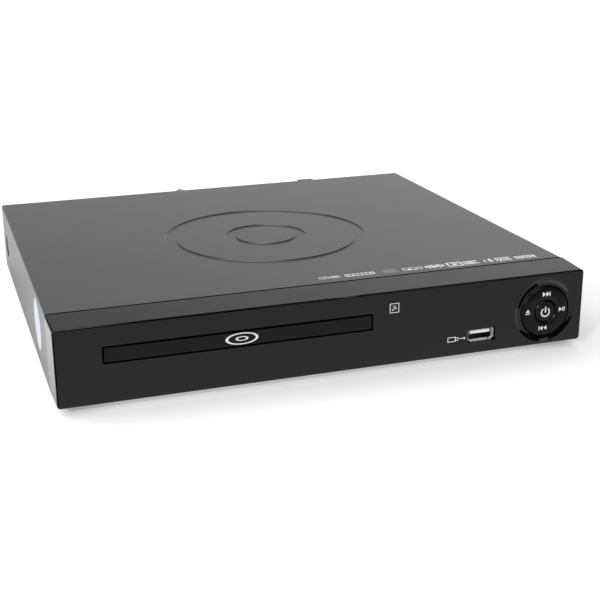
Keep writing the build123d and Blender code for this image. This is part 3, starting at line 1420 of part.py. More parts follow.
# Clamper bridge and clamper
bridge_half = frame_outer + 4.0
hole_radius = clamper_neck + 1.1
bridge_top = bridge_bottom + bridge_thickness
with BuildPart() as clamper_bridge:
    with BuildSketch(level(bridge_bottom)):
        with Locations((loader_x, back(disc_centre_depth))):
            RectangleRounded(2 * bridge_half, bridge_rear - bridge_front, 3.0)
            Circle(hole_radius, mode=Mode.SUBTRACT)
        with Locations(*[(lane(x), back(depth)) for x, depth in bridge_screws]):
            Circle(screw_shank_radius + fit_gap, mode=Mode.SUBTRACT)
    extrude(amount=bridge_thickness)
    with BuildSketch(level(bridge_top)):
        for depth in (bridge_front + 0.8, bridge_rear - 0.8):
            with Locations((loader_x, back(depth))):
                Rectangle(2 * (frame_inner - 2.0), 1.6)
        with Locations((loader_x, back(disc_centre_depth))):
            Circle(clamper_neck + 6.4)
            Circle(clamper_neck + 5.0, mode=Mode.SUBTRACT)
    extrude(amount=3.0)
clamper_bridge.part.label = "clamper_bridge"
export_step(clamper_bridge.part, "parts/clamper_bridge.step")

with BuildPart() as clamper:
    with BuildSketch(spindle_section):
        with BuildLine():
            cap = bridge_top + 0.15
            Polyline((0, 28.9), (hub_radius + 1.0, 28.9), (hub_radius + 1.2, clamper_bottom),
                     (clamper_radius, clamper_bottom), (clamper_radius, bridge_bottom - 0.3),
                     (clamper_neck, bridge_bottom - 0.3), (clamper_neck, cap), (clamper_neck + 3.0, cap),
                     (clamper_neck + 3.0, cap + 1.4), (8.5, cap + 1.4), (8.5, cap - 0.4), (0, cap - 0.4),
                     close=True)
        make_face()
    revolve(axis=Axis((lane(0), back(disc_centre_depth), 0), (0, 0, 1)))
clamper.part.label = "clamper"
export_step(clamper.part, "parts/clamper.step")

with BuildPart() as clamper_magnet:
    with BuildSketch(level(bridge_top - 0.25)):
        with Locations((lane(0), back(disc_centre_depth))):
            Circle(8.4)
            Circle(2.5, mode=Mode.SUBTRACT)
    extrude(amount=1.8)
clamper_magnet.part.label = "clamper_magnet"
export_step(clamper_magnet.part, "parts/clamper_magnet.step")

# Main board with its chips, connectors and rear sockets
main_top = main_board_height + board_thickness
with BuildPart() as main_board:
    with BuildSketch(level(main_board_height)):
        with Locations(((main_board_left + main_board_right) / 2,
                        back((main_board_front + main_board_rear) / 2))):
            Rectangle(main_board_right - main_board_left, main_board_rear - main_board_front)
        with Locations(*[(x, back(depth)) for x, depth in main_posts]):
            Circle(screw_shank_radius + fit_gap, mode=Mode.SUBTRACT)
    extrude(amount=board_thickness)
main_board.part.label = "main_board"
export_step(main_board.part, "parts/main_board.step")

with BuildPart() as board_chips:
    decoder = (main_board_left + 37.0, main_board_front + 10.0, 16.0, 16.0, 1.6)
    memory = (main_board_left + 15.0, main_board_front + 9.0, 11.0, 14.0, 1.2)
    motor_driver = (main_board_right - 39.0, main_board_front + 13.0, 12.0, 8.0, 2.2)
    regulator = (main_board_left + 90.0, main_board_front + 12.0, 9.0, 6.0, 1.6)
    for x, depth, width, length, height in (decoder, memory, motor_driver, regulator):
        with BuildSketch(level(main_top)):
            with Locations((x, back(depth))):
                Rectangle(width, length)
        extrude(amount=height)
    chamfer(board_chips.edges().group_by(Axis.Z)[-1], 0.2)
board_chips.part.label = "board_chips"
export_step(board_chips.part, "parts/board_chips.step")

housing_top = rca_top_height + 3.9
with BuildPart() as jack_housing:
    with BuildSketch(upright(panel_front - fit_gap)):
        with Locations((rca_x, high((main_top + housing_top) / 2))):
            Rectangle(rca_housing_width, housing_top - main_top)
    extrude(amount=rca_housing_depth)
    for height in rca_heights:
        with BuildSketch(upright(panel_front - fit_gap)):
            with Locations((rca_x, high(height))):
                Circle(rca_collar_radius)
                Rectangle(2 * rca_collar_radius, 2 * (housing_top - rca_top_height), mode=Mode.INTERSECT)
                Circle(rca_barrel_radius - 0.2 + running_gap, mode=Mode.SUBTRACT)
        extrude(amount=-(pan_steel + 1.6))
        with BuildSketch(upright(panel_front - fit_gap)):
            with Locations((rca_x, high(height))):
                Circle(rca_barrel_radius - 0.2 + running_gap)
        extrude(amount=4.0, mode=Mode.SUBTRACT)
jack_housing.part.label = "jack_housing"
export_step(jack_housing.part, "parts/jack_housing.step")

barrel_back = case_depth + jack_reach
barrel_front = panel_front - fit_gap - 4.0
barrel_shoulder = panel_front - fit_gap + pan_steel + 1.6
barrel_neck_radius = rca_barrel_radius - 0.2
with BuildPart() as jack_barrels:
    jack_centres = [(rca_x, high(height)) for height in rca_heights]
    with BuildSketch(upright(barrel_back)):
        with Locations(*jack_centres):
            Circle(rca_barrel_radius)
    extrude(amount=barrel_back - barrel_shoulder)
    with BuildSketch(upright(barrel_shoulder)):
        with Locations(*jack_centres):
            Circle(barrel_neck_radius)
    extrude(amount=barrel_shoulder - barrel_front)
    with BuildSketch(upright(barrel_back)):
        with Locations(*jack_centres):
            Circle(rca_barrel_bore)
    extrude(amount=barrel_back - barrel_front, mode=Mode.SUBTRACT)
jack_barrels.part.label = "jack_barrels"
export_step(jack_barrels.part, "parts/jack_barrels.step")

with BuildPart() as jack_inserts:
    with BuildSketch(upright(barrel_back - 0.6)):
        with Locations(*[(rca_x, high(height)) for height in rca_heights]):
            Circle(rca_barrel_bore - running_gap)
            Circle(rca_socket_radius, mode=Mode.SUBTRACT)
    extrude(amount=barrel_back - 0.6 - barrel_front)
jack_inserts.part.label = "jack_inserts"
export_step(jack_inserts.part, "parts/jack_inserts.step")

with BuildPart() as video_socket:
    socket_back = case_depth - 0.2
    with BuildSketch(upright(socket_back)):
        with Locations((hdmi_x, high(hdmi_centre))):
            Rectangle(hdmi_width, hdmi_height)
    extrude(amount=hdmi_depth)
    with BuildSketch(upright(socket_back)):
        with BuildLine():
            half_width = hdmi_width / 2 - hdmi_steel
            hdmi_top = high(hdmi_centre + hdmi_height / 2 - hdmi_steel)
            hdmi_bottom = high(hdmi_centre - hdmi_height / 2 + hdmi_steel)
            Polyline((hdmi_x - half_width, hdmi_top), (hdmi_x + half_width, hdmi_top),
                     (hdmi_x + half_width, hdmi_bottom + 2.2), (hdmi_x + half_width - 1.6, hdmi_bottom),
                     (hdmi_x - half_width + 1.6, hdmi_bottom), (hdmi_x - half_width, hdmi_bottom + 2.2),
                     close=True)
        make_face()
    extrude(amount=8.5, mode=Mode.SUBTRACT)
    with BuildSketch(upright(socket_back - 1.0)):
        with Locations((hdmi_x, high(hdmi_centre + 0.4))):
            Rectangle(9.6, 1.4)
    extrude(amount=8.0)
video_socket.part.label = "video_socket"
export_step(video_socket.part, "parts/video_socket.step")

# Gland of the mains lead, in the rear panel
with BuildPart() as mains_gland:
    with BuildSketch(upright(case_depth)):
        with Locations((gland_x, high(gland_height))):
            Rectangle(gland_width, gland_tallness)
    with BuildSketch(upright(case_depth + gland_reach)):
        with Locations((gland_x, high(gland_height))):
            Rectangle(gland_width - 2 * gland_taper, gland_tallness - 2 * gland_taper)
    loft(ruled=True)
    with BuildSketch(upright(case_depth)):
        with Locations((gland_x, high(gland_height))):
            Rectangle(gland_width, 2 * (panel_top - gland_height))
    extrude(amount=steel)
    with BuildSketch(upright(case_depth - steel)):
        with Locations((gland_x, high(gland_height))):
            Circle(gland_neck_radius)
    extrude(amount=8.0)
    with BuildSketch(upright(case_depth + gland_reach)):
        with Locations((gland_x, high(gland_height))):
            Circle(gland_bore_radius)
    extrude(amount=gland_reach + steel + 8.0, mode=Mode.SUBTRACT)
mains_gland.part.label = "mains_gland"
export_step(mains_gland.part, "parts/mains_gland.step")

# Power board and its parts
power_top = power_board_height + board_thickness
with BuildPart() as power_board:
    with BuildSketch(level(power_board_height)):
        with Locations(((power_board_left + power_board_right) / 2,
                        back((power_board_front + power_board_rear) / 2))):
            Rectangle(power_board_right - power_board_left, power_board_rear - power_board_front)
        with Locations(*[(x, back(depth)) for x, depth in power_posts]):
            Circle(screw_shank_radius + fit_gap, mode=Mode.SUBTRACT)
    extrude(amount=board_thickness)
power_board.part.label = "power_board"
export_step(power_board.part, "parts/power_board.step")

transformer_width = 30.0
transformer_length = 26.0
transformer_base = 4.0
transformer_core = 12.0
transformer_height = 22.0
core_limb = 5.0
transformer_x = (power_board_left + power_board_right) / 2 - 8.0
transformer_y = back(power_board_front + 78.0)
with BuildPart() as transformer:
    with BuildSketch(level(power_top)):
        with Locations((transformer_x, transformer_y)):
            RectangleRounded(transformer_width, transformer_length, 1.5)
    extrude(amount=transformer_base)
    with BuildSketch(level(power_top + transformer_base)):
        with Locations((transformer_x, transformer_y)):
            RectangleRounded(transformer_width - 8.0, transformer_length - 6.0, 4.0)
            with GridLocations(transformer_width - core_limb, 0, 2, 1):
                Rectangle(core_limb, transformer_core)
    extrude(amount=transformer_height - 2 * transformer_base)
    with BuildSketch(level(power_top + transformer_height - transformer_base)):
        with Locations((transformer_x, transformer_y)):
            Rectangle(transformer_width, transformer_core)
    extrude(amount=transformer_base)
transformer.part.label = "transformer"
export_step(transformer.part, "parts/transformer.step")

bulk_radius = 9.0
bulk_height = 26.0
sink_length = 34.0
sink_height = 22.0
sink_width = 12.0
sink_web = 2.0
fin_thickness = 1.3
fin_count = 7
sink_x = power_board_right - 18.0
with BuildPart() as bulk_capacitor:
    with BuildSketch(level(power_top)):
        with Locations((sink_x, back(power_board_front + 104.0))):
            Circle(bulk_radius)
    extrude(amount=bulk_height)
    fillet(bulk_capacitor.edges().filter_by(GeomType.CIRCLE).sort_by(Axis.Z)[-1], 1.0)
bulk_capacitor.part.label = "bulk_capacitor"
export_step(bulk_capacitor.part, "parts/bulk_capacitor.step")

large_can = (5.0, 16.0)
small_can = (4.0, 12.0)
can_lane = power_board_left + 16.0
can_pitch = 15.0
can_front = power_board_front + 22.0
with BuildPart() as output_capacitors:
    for (radius, height), depth in ((large_can, can_front), (small_can, can_front + can_pitch + 2.0)):
        with BuildSketch(level(power_top)):
            with Locations((can_lane, back(depth)), (can_lane + can_pitch, back(depth))):
                Circle(radius)
        extrude(amount=height)
        can_top = high(power_top + height)
        rims = output_capacitors.edges().filter_by(GeomType.CIRCLE)
        fillet(rims.filter_by_position(Axis.Z, can_top - fit_gap, can_top + fit_gap), 0.6)
output_capacitors.part.label = "output_capacitors"
export_step(output_capacitors.part, "parts/output_capacitors.step")

with BuildPart() as heat_sink:
    with BuildSketch(level(power_top)):
        with Locations((sink_x, back(power_board_front + 58.0))):
            Rectangle(sink_web, sink_length)
            with GridLocations(0, (sink_length - fin_thickness) / (fin_count - 1), 1, fin_count):
                Rectangle(sink_width, fin_thickness)
    extrude(amount=sink_height)
heat_sink.part.label = "heat_sink"
export_step(heat_sink.part, "parts/heat_sink.step")

filter_base = 3.0
filter_radius = 8.0
filter_x = power_board_left + 24.0
filter_y = back(power_board_rear - 36.0)
with BuildPart() as line_filter:
    with BuildSketch(level(power_top)):
        with Locations((filter_x, filter_y)):
            RectangleRounded(2 * filter_radius + 4.0, 2 * filter_radius + 1.0, 2.0)
    extrude(amount=filter_base)
    with BuildSketch(level(power_top + filter_base)):
        with Locations((filter_x, filter_y)):
            Circle(filter_radius)
            Rectangle(5.0, 5.0, mode=Mode.SUBTRACT)
    extrude(amount=13.0)
line_filter.part.label = "line_filter"
export_step(line_filter.part, "parts/line_filter.step")

fuse_length = 20.0
fuse_radius = 2.6
fuse_height = 4.2
clip_length = 4.0
fuse_x = power_board_right - 28.0
fuse_rear = power_board_rear - 10.0
with BuildPart() as mains_fuse:
    with BuildSketch(upright(fuse_rear)):
        with Locations((fuse_x, high(power_top + fuse_height))):
            Circle(fuse_radius)
    extrude(amount=fuse_length)
    for clip_rear in (fuse_rear - 0.5, fuse_rear - fuse_length + clip_length + 0.5):
        with BuildSketch(upright(clip_rear)):
            with Locations((fuse_x, high(power_top + 3.0))):
                Rectangle(7.0, 6.0)
            with Locations((fuse_x, high(power_top + 6.6))):
                Rectangle(3.6, 3.0, mode=Mode.SUBTRACT)
        extrude(amount=clip_length)
mains_fuse.part.label = "mains_fuse"
export_step(mains_fuse.part, "parts/mains_fuse.step")

# Flat cable from the front board to the main board: one strip bent along the pan
ribbon = 0.4
cable_x = lane(ear_reach) + cable_lane / 2 - 1.1
cable_width = 6.0
cable_low = pan_steel + 0.6
connector_depth = main_board_front + 8.5
connector_length = 5.0
cable_end = connector_depth - connector_length / 2
with BuildPart() as front_cable:
    with BuildLine() as front_route:
        FilletPolyline((cable_x, back(front_board_depth + board_thickness), high(15.0)),
                       (cable_x, back(26.0), high(15.0)), (cable_x, back(32.0), high(cable_low)),
                       (cable_x, back(main_board_front - 9.0), high(cable_low)),
                       (cable_x, back(main_board_front - 2.0), high(main_top + 1.2)),
                       (cable_x, back(cable_end), high(main_top + 1.2)), radius=2.5)
    with BuildSketch(Plane(origin=front_route.wire() @ 0, x_dir=(1, 0, 0), z_dir=front_route.wire() % 0)):
        Rectangle(cable_width, ribbon)
    sweep(path=front_route.wire())
front_cable.part.label = "front_cable"
export_step(front_cable.part, "parts/front_cable.step")

# Connectors on the main board
with BuildPart() as board_connectors:
    cable_socket = (cable_x, connector_depth, 7.0, connector_length, 3.0)
    loader_socket = (main_board_left + 75.0, connector_depth - 2.5, 26.0, 5.0, 2.4)
    for x, depth, width, length, height in (cable_socket, loader_socket):
        with BuildSketch(level(main_top)):
            with Locations((x, back(depth))):
                Rectangle(width, length)
        extrude(amount=height)
board_connectors.part.label = "board_connectors"
export_step(board_connectors.part, "parts/board_connectors.step")

# Screws of the case, the boards and the loader
dimple_floor_x = cover_width / 2 - side_gap + fit_gap
case_screw_seats = [((side * dimple_floor_x, back(depth), high(height)), (-side, 0, 0))
                    for side in (-1, 1) for depth, height in side_screw_places]
case_screw_seats += [((x, back(case_depth), high(z)), (0, -1, 0)) for x, z in rear_screw_places]
with BuildPart() as case_screws:
    for seat, direction in case_screw_seats:
        add(screw(seat, direction))
case_screws.part.label = "case_screws"
export_step(case_screws.part, "parts/case_screws.step")

board_screw_seats = [((x, back(depth), high(power_top)), (0, 0, -1)) for x, depth in power_posts]
board_screw_seats += [((x, back(front_board_depth + board_thickness), high(z)), (0, -1, 0))
                      for x, z in front_bosses]
with BuildPart() as board_screws:
    for seat, direction in board_screw_seats:
        add(screw(seat, direction))
board_screws.part.label = "board_screws"
export_step(board_screws.part, "parts/board_screws.step")

loader_screw_seats = [((lane(x), back(depth), high(frame_bottom + frame_floor + 0.5)), (0, 0, -1))
                      for x, depth in loader_ears]
loader_screw_seats += [((lane(x), back(depth), high(bridge_top)), (0, 0, -1)) for x, depth in bridge_screws]
with BuildPart() as loader_screws:
    for seat, direction in loader_screw_seats:
        add(screw(seat, direction))
loader_screws.part.label = "loader_screws"
export_step(loader_screws.part, "parts/loader_screws.step")
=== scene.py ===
import json
from math import cos, radians, sin

import bpy
from mathutils import Matrix, Vector


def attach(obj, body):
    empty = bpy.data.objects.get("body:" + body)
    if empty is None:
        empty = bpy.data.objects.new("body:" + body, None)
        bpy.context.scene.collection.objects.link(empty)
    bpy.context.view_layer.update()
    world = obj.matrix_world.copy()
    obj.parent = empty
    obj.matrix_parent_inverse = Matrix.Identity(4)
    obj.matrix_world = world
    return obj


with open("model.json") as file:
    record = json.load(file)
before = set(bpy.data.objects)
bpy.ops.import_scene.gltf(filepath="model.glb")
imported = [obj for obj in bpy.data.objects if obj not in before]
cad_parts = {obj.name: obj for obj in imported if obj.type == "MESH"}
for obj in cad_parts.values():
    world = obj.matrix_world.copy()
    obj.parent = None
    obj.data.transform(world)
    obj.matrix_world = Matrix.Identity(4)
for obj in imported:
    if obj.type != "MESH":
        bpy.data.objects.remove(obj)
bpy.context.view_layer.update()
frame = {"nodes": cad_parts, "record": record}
print("frame loaded")

mm = 0.001
frontY = -0.1255
caseFoot = 0.004
nodes = frame["nodes"]


def behind(distance):
    return frontY + distance * mm      # y of a point this many mm behind the front face


def above(height):
    return caseFoot + height * mm      # z of a point this many mm above the underside


# View of the photograph
view = {"place": (-0.18233, -0.60897, 0.21643),
        "right": (0.94657, -0.32240, -0.0068),
        "up": (0.10974, 0.30223, 0.94689),
        "ahead": (0.30322, 0.89706, -0.32147),
        "lens": 68.82, "sensor": 36.0}

cameraData = bpy.data.cameras.new("photoView")
cameraData.lens = view["lens"]
cameraData.sensor_width = view["sensor"]
cameraData.sensor_fit = "HORIZONTAL"
cameraData.clip_start = 0.01
camera = bpy.data.objects.new("photoView", cameraData)
bpy.context.scene.collection.objects.link(camera)
axes = [Vector(view["right"]), Vector(view["up"]), -Vector(view["ahead"])]
turned = Matrix([axis.normalized() for axis in axes]).transposed().to_4x4()
camera.matrix_world = Matrix.Translation(view["place"]) @ turned
bpy.context.scene.camera = camera
bpy.context.scene.view_settings.view_transform = "Standard"
print("camera set")


# Shader maths: a Wire is a socket of a node tree that can be added, multiplied and compared
class Wire:
    def __init__(self, tree, socket):
        self.tree = tree
        self.socket = socket

    def feed(self, target):
        self.tree.links.new(self.socket, target)

    def calc(self, operation, *values):
        step = self.tree.nodes.new("ShaderNodeMath")
        step.operation = operation
        for target, value in zip(step.inputs, values):
            if isinstance(value, Wire):
                value.feed(target)
            else:
                target.default_value = value
        return Wire(self.tree, step.outputs[0])

    def __add__(self, other): return self.calc("ADD", self, other)
    def __radd__(self, other): return self.calc("ADD", other, self)
    def __sub__(self, other): return self.calc("SUBTRACT", self, other)
    def __rsub__(self, other): return self.calc("SUBTRACT", other, self)
    def __mul__(self, other): return self.calc("MULTIPLY", self, other)
    def __rmul__(self, other): return self.calc("MULTIPLY", other, self)
    def __truediv__(self, other): return self.calc("DIVIDE", self, other)
    def __rtruediv__(self, other): return self.calc("DIVIDE", other, self)
    def __mod__(self, other): return self.calc("FLOORED_MODULO", self, other)
    def __pow__(self, other): return self.calc("POWER", self, other)
    def __neg__(self): return self.calc("MULTIPLY", self, -1.0)
    def __abs__(self): return self.calc("ABSOLUTE", self)
    def limit(self, low, high): return self.calc("MINIMUM", self.calc("MAXIMUM", self, low), high)
    def __lt__(self, other): return self.calc("LESS_THAN", self, other)
    def __gt__(self, other): return self.calc("GREATER_THAN", self, other)

    # 0 at start and 1 past start + width; a negative width falls instead
    def rise(self, start, width):
        return ((self - start) / width).limit(0.0, 1.0)

    # a share of 0 to 1 spread from low to high
    def span(self, low, high):
        return self * (high - low) + low

    # this value where the share is 0, the other where it is 1
    def toward(self, other, share):
        return self * (1 - share) + share * other


class Finish:
    def __init__(self, name):
        self.material = bpy.data.materials.new(name)
        self.material.use_nodes = True
        self.tree = self.material.node_tree
        self.shader = self.tree.nodes["Principled BSDF"]
        self.place = self.add("ShaderNodeTexCoord", {}, {}, "Object")

    # any node: its settings first, then the values or links of its sockets
    def add(self, kind, settings, sockets, output=0):
        step = self.tree.nodes.new(kind)
        for key, value in settings.items():
            setattr(step, key, value)
        for key, value in sockets.items():
            if isinstance(value, Wire):
                value.feed(step.inputs[key])
            else:
                step.inputs[key].default_value = value
        return Wire(self.tree, step.outputs[output])

    def stretch(self, scale):
        return self.add("ShaderNodeMapping", {}, {"Vector": self.place, "Scale": scale})

    def noise(self, size, detail=2.0, place=None):
        return self.add("ShaderNodeTexNoise", {}, {"Vector": place or self.place, "Scale": 1 / (size * mm),
                                                   "Detail": detail}, "Fac")

    def blend(self, factor, first, second):
        sockets = {0: factor}
        for key, value in ((6, first), (7, second)):
            sockets[key] = value if isinstance(value, Wire) else (*value, 1.0)
        return self.add("ShaderNodeMix", {"data_type": "RGBA"}, sockets, 2)

    def bump(self, height, depth, under=None):
        sockets = {"Height": height, "Distance": depth * mm, "Strength": 1.0}
        if under:
            sockets["Normal"] = under
        return self.add("ShaderNodeBump", {}, sockets, "Normal")

    def axis(self, letter):
        return self.add("ShaderNodeSeparateXYZ", {}, {0: self.place}, letter)

    def set(self, **values):
        for key, value in values.items():
            target = self.shader.inputs[key.replace("_", " ")]
            if isinstance(value, Wire):
                value.feed(target)
            elif target.type == "RGBA" and len(value) == 3:
                target.default_value = (*value, 1.0)
            else:
                target.default_value = value
        return self.material


def cloudy(name, dark, light, cloud, roughRange, grain, depth, metallic=0.0, **more):
    finish = Finish(name)
    patch = finish.noise(cloud, 3.0)
    fine = finish.noise(grain, 2.0)
    return finish.set(Base_Color=finish.blend(patch, dark, light),
                      Roughness=fine.span(*roughRange), Metallic=metallic, Normal=finish.bump(fine, depth),
                      **more)


# Cover: satin paint, very fine orange peel, hardly visible clouds, and painted shade along the seam at the
# bezel
coverLook = {"dark": (0.0390, 0.0402, 0.0430), "light": (0.0450, 0.0462, 0.0490), "cloud": 60.0,
             "rough": (0.27, 0.31), "index": 1.55,
             "peel": 1.4, "peelDepth": 0.0035, "grit": 0.25, "gritDepth": 0.0012,
             "seamDepth": 23.35, "seamFoot": 36.6, "seamShadeColour": (0.003, 0.003, 0.003, 1.0), "seamRough": 0.9}


def coverFinish():
    look = coverLook
    finish = Finish("satinPaint")
    cloud = finish.noise(look["cloud"], 3.0)
    peel = finish.noise(look["peel"], 2.0)
    grit = finish.noise(look["grit"], 1.0)
    relief = finish.bump(grit, look["gritDepth"], under=finish.bump(peel, look["peelDepth"]))
    finish.set(Base_Color=finish.blend(cloud, look["dark"], look["light"]),
               Roughness=peel.span(*look["rough"]), Normal=relief, IOR=look["index"])
    # painted shade: a dark, matte strip painted on the sheet along the bezel stands in for the shade in the
    # seam
    depth = finish.axis("Y")
    height = finish.axis("Z")
    seam = (depth < behind(look["seamDepth"])) * (height > above(look["seamFoot"]))
    paintedSeamShade = finish.add("ShaderNodeBsdfPrincipled", {}, {"Base Color": look["seamShadeColour"],
                                                       "Roughness": look["seamRough"],
                                                       "Specular IOR Level": 0.0})
    paint = Wire(finish.tree, finish.shader.outputs[0])
    mixed = finish.add("ShaderNodeMixShader", {}, {0: seam, 1: paint, 2: paintedSeamShade})
    mixed.feed(finish.tree.nodes["Material Output"].inputs["Surface"])
    return finish.material


# Bezel, door: gloss black moulding with a slow ripple from the mould
glossLook = {"dark": (0.0016, 0.0016, 0.0019), "light": (0.0030, 0.0030, 0.0033), "cloud": 45.0,
             "rough": (0.035, 0.075), "smear": 14.0, "smearShape": (1.0, 1.0, 2.4),
             "ripple": 38.0, "rippleShape": (1.0, 1.0, 1.7), "rippleDepth": 0.05, "index": 1.49}

doorLook = dict(glossLook, dark=(0.0011, 0.0009, 0.0007), light=(0.0020, 0.0017, 0.0014), index=1.38)


def glossFinish(name, look):
    finish = Finish(name)
    cloud = finish.noise(look["cloud"], 2.0)
    smear = finish.noise(look["smear"], 3.0, finish.stretch(look["smearShape"]))
    ripple = finish.noise(look["ripple"], 1.0, finish.stretch(look["rippleShape"]))
    return finish.set(Base_Color=finish.blend(cloud, look["dark"], look["light"]),
                      Roughness=smear.span(*look["rough"]), Normal=finish.bump(ripple, look["rippleDepth"]),
                      IOR=look["index"])


# Boards: solder mask with traces and pads
boardLook = {"region": 14.0, "trace": 0.16, "broken": 9.0, "whole": 0.42, "padScale": 190.0, "pad": 0.12,
             "tin": (0.62, 0.55, 0.38), "rough": 0.34, "smoother": 0.1, "metal": 0.6, "relief": 0.035}


def boardFinish(name, mask, trace, pitch):
    look = boardLook
    finish = Finish(name)
    along = finish.axis("X")
    across = finish.axis("Y")
    region = finish.noise(look["region"], 0.0)
    bands = abs(((along * (region > 0.5) + across * (region < 0.5)) % (pitch * mm)) / (pitch * mm) - 0.5)
    traces = (bands < look["trace"]) * (finish.noise(look["broken"], 1.0) > look["whole"])
    spots = finish.add("ShaderNodeTexVoronoi", {"distance": "CHEBYCHEV"},
                       {"Vector": finish.place, "Scale": look["padScale"]}, "Distance")
    pads = spots < look["pad"]
    colour = finish.blend(pads, finish.blend(traces, mask, trace), look["tin"])
    return finish.set(Base_Color=colour, Roughness=look["rough"] - pads * look["smoother"],
                      Metallic=pads * look["metal"], Normal=finish.bump(traces + pads, look["relief"]))


# Machined and drawn metal with fine lines along one direction
metalLook = {"lines": 3.0, "cloud": 12.0, "darker": 0.78, "spread": 0.16, "relief": 0.006}


def brushed(name, colour, stretch, rough):
    look = metalLook
    finish = Finish(name)
    lines = finish.noise(look["lines"], 3.0, finish.stretch(stretch))
    cloud = finish.noise(look["cloud"], 2.0)
    darker = tuple(look["darker"] * part for part in colour)
    return finish.set(Base_Color=finish.blend(cloud, darker, colour), Metallic=1.0,
                      Roughness=lines * look["spread"] + rough, Normal=finish.bump(lines, look["relief"]))


# Zinc plate: pale steel with large spangle
zincLook = {"dark": (0.44, 0.46, 0.48), "light": (0.60, 0.62, 0.64), "spangleScale": 160.0,
            "scratch": 2.0, "drawn": (0.15, 3.0, 1.0), "scratchDepth": 0.004,
            "rough": 0.24, "shadeRough": 0.14, "scratchRough": 0.1}


def zincFinish():
    look = zincLook
    finish = Finish("zincSheet")
    spangle = finish.add("ShaderNodeTexVoronoi", {}, {"Vector": finish.place, "Scale": look["spangleScale"]},
                         "Color")
    shade = finish.add("ShaderNodeSeparateColor", {}, {0: spangle}, 0)
    scratch = finish.noise(look["scratch"], 3.0, finish.stretch(look["drawn"]))
    return finish.set(Base_Color=finish.blend(shade, look["dark"], look["light"]), Metallic=1.0,
                      Roughness=shade * look["shadeRough"] + scratch * look["scratchRough"] + look["rough"],
                      Normal=finish.bump(scratch, look["scratchDepth"]))


# Rubber with a dimpled face and some dust
rubberLook = {"dust": 6.0, "dustColour": 0.05, "dustShare": 0.5, "rough": 0.85, "smoother": 0.12,
              "shine": 0.35}


def rubberFinish(name, colour, dimple, depth):
    look = rubberLook
    finish = Finish(name)
    cells = finish.add("ShaderNodeTexVoronoi", {"feature": "SMOOTH_F1"},
                       {"Vector": finish.place, "Scale": 1 / (dimple * mm)}, "Distance")
    dust = finish.noise(look["dust"], 4.0)
    dusty = tuple(look["dustColour"] + part for part in colour)
    return finish.set(Base_Color=finish.blend(dust * look["dustShare"], colour, dusty),
                      Roughness=look["rough"] - dust * look["smoother"], Normal=finish.bump(cells, depth),
                      Specular_IOR_Level=look["shine"])


# Socket shell: bright plated lips; deeper in, its colour falls to near black as painted shade
shellLook = {"bright": (0.86, 0.85, 0.82), "throatShade": (0.035, 0.032, 0.028), "start": 2.3, "end": 3.3,
             "wear": 1.5, "rough": (0.22, 0.34), "metal": 0.9}


def shellFinish():
    look = shellLook
    finish = Finish("socketShell")
    depth = finish.axis("Y")
    # painted shade: the colour darkens from the mouth inwards in place of the shade inside the socket
    inside = depth.rise(behind(look["start"]), (look["end"] - look["start"]) * mm)
    wear = finish.noise(look["wear"], 2.0)
    return finish.set(Base_Color=finish.blend(inside, look["bright"], look["throatShade"]),
                      Roughness=wear.span(*look["rough"]), Metallic=look["metal"])


# Sensor window: smooth, nearly black filter
windowLook = {"dark": (0.006, 0.004, 0.006), "light": (0.012, 0.008, 0.010), "cloud": 5.0,
              "rough": (0.05, 0.09), "coat": 0.4}


def windowFinish():
    look = windowLook
    finish = Finish("sensorWindow")
    cloud = finish.noise(look["cloud"], 2.0)
    return finish.set(Base_Color=finish.blend(cloud, look["dark"], look["light"]),
                      Roughness=cloud.span(*look["rough"]), Coat_Weight=look["coat"])


# Clear glass and lens with a light haze
glassLook = {"haze": 1.2, "spread": 0.04, "clear": 0.85, "index": 1.5}


def lensFinish(name, tint, rough):
    look = glassLook
    finish = Finish(name)
    haze = finish.noise(look["haze"], 2.0)
    return finish.set(Base_Color=tint, Roughness=haze * look["spread"] + rough,
                      Transmission_Weight=look["clear"], IOR=look["index"])


# Jack inserts: red, white and yellow by height
jackLook = {"red": (0.55, 0.03, 0.03), "white": (0.78, 0.78, 0.76), "yellow": (0.82, 0.55, 0.05),
            "yellowFrom": 26.7, "whiteFrom": 13.7, "speck": 0.8, "rough": (0.30, 0.42)}


def jackFinish():
    look = jackLook
    finish = Finish("jackColours")
    height = finish.axis("Z")
    speck = finish.noise(look["speck"], 2.0)
    lower = finish.blend(height > above(look["whiteFrom"]), look["red"], look["white"])
    colour = finish.blend(height > above(look["yellowFrom"]), lower, look["yellow"])
    return finish.set(Base_Color=colour, Roughness=speck.span(*look["rough"]))


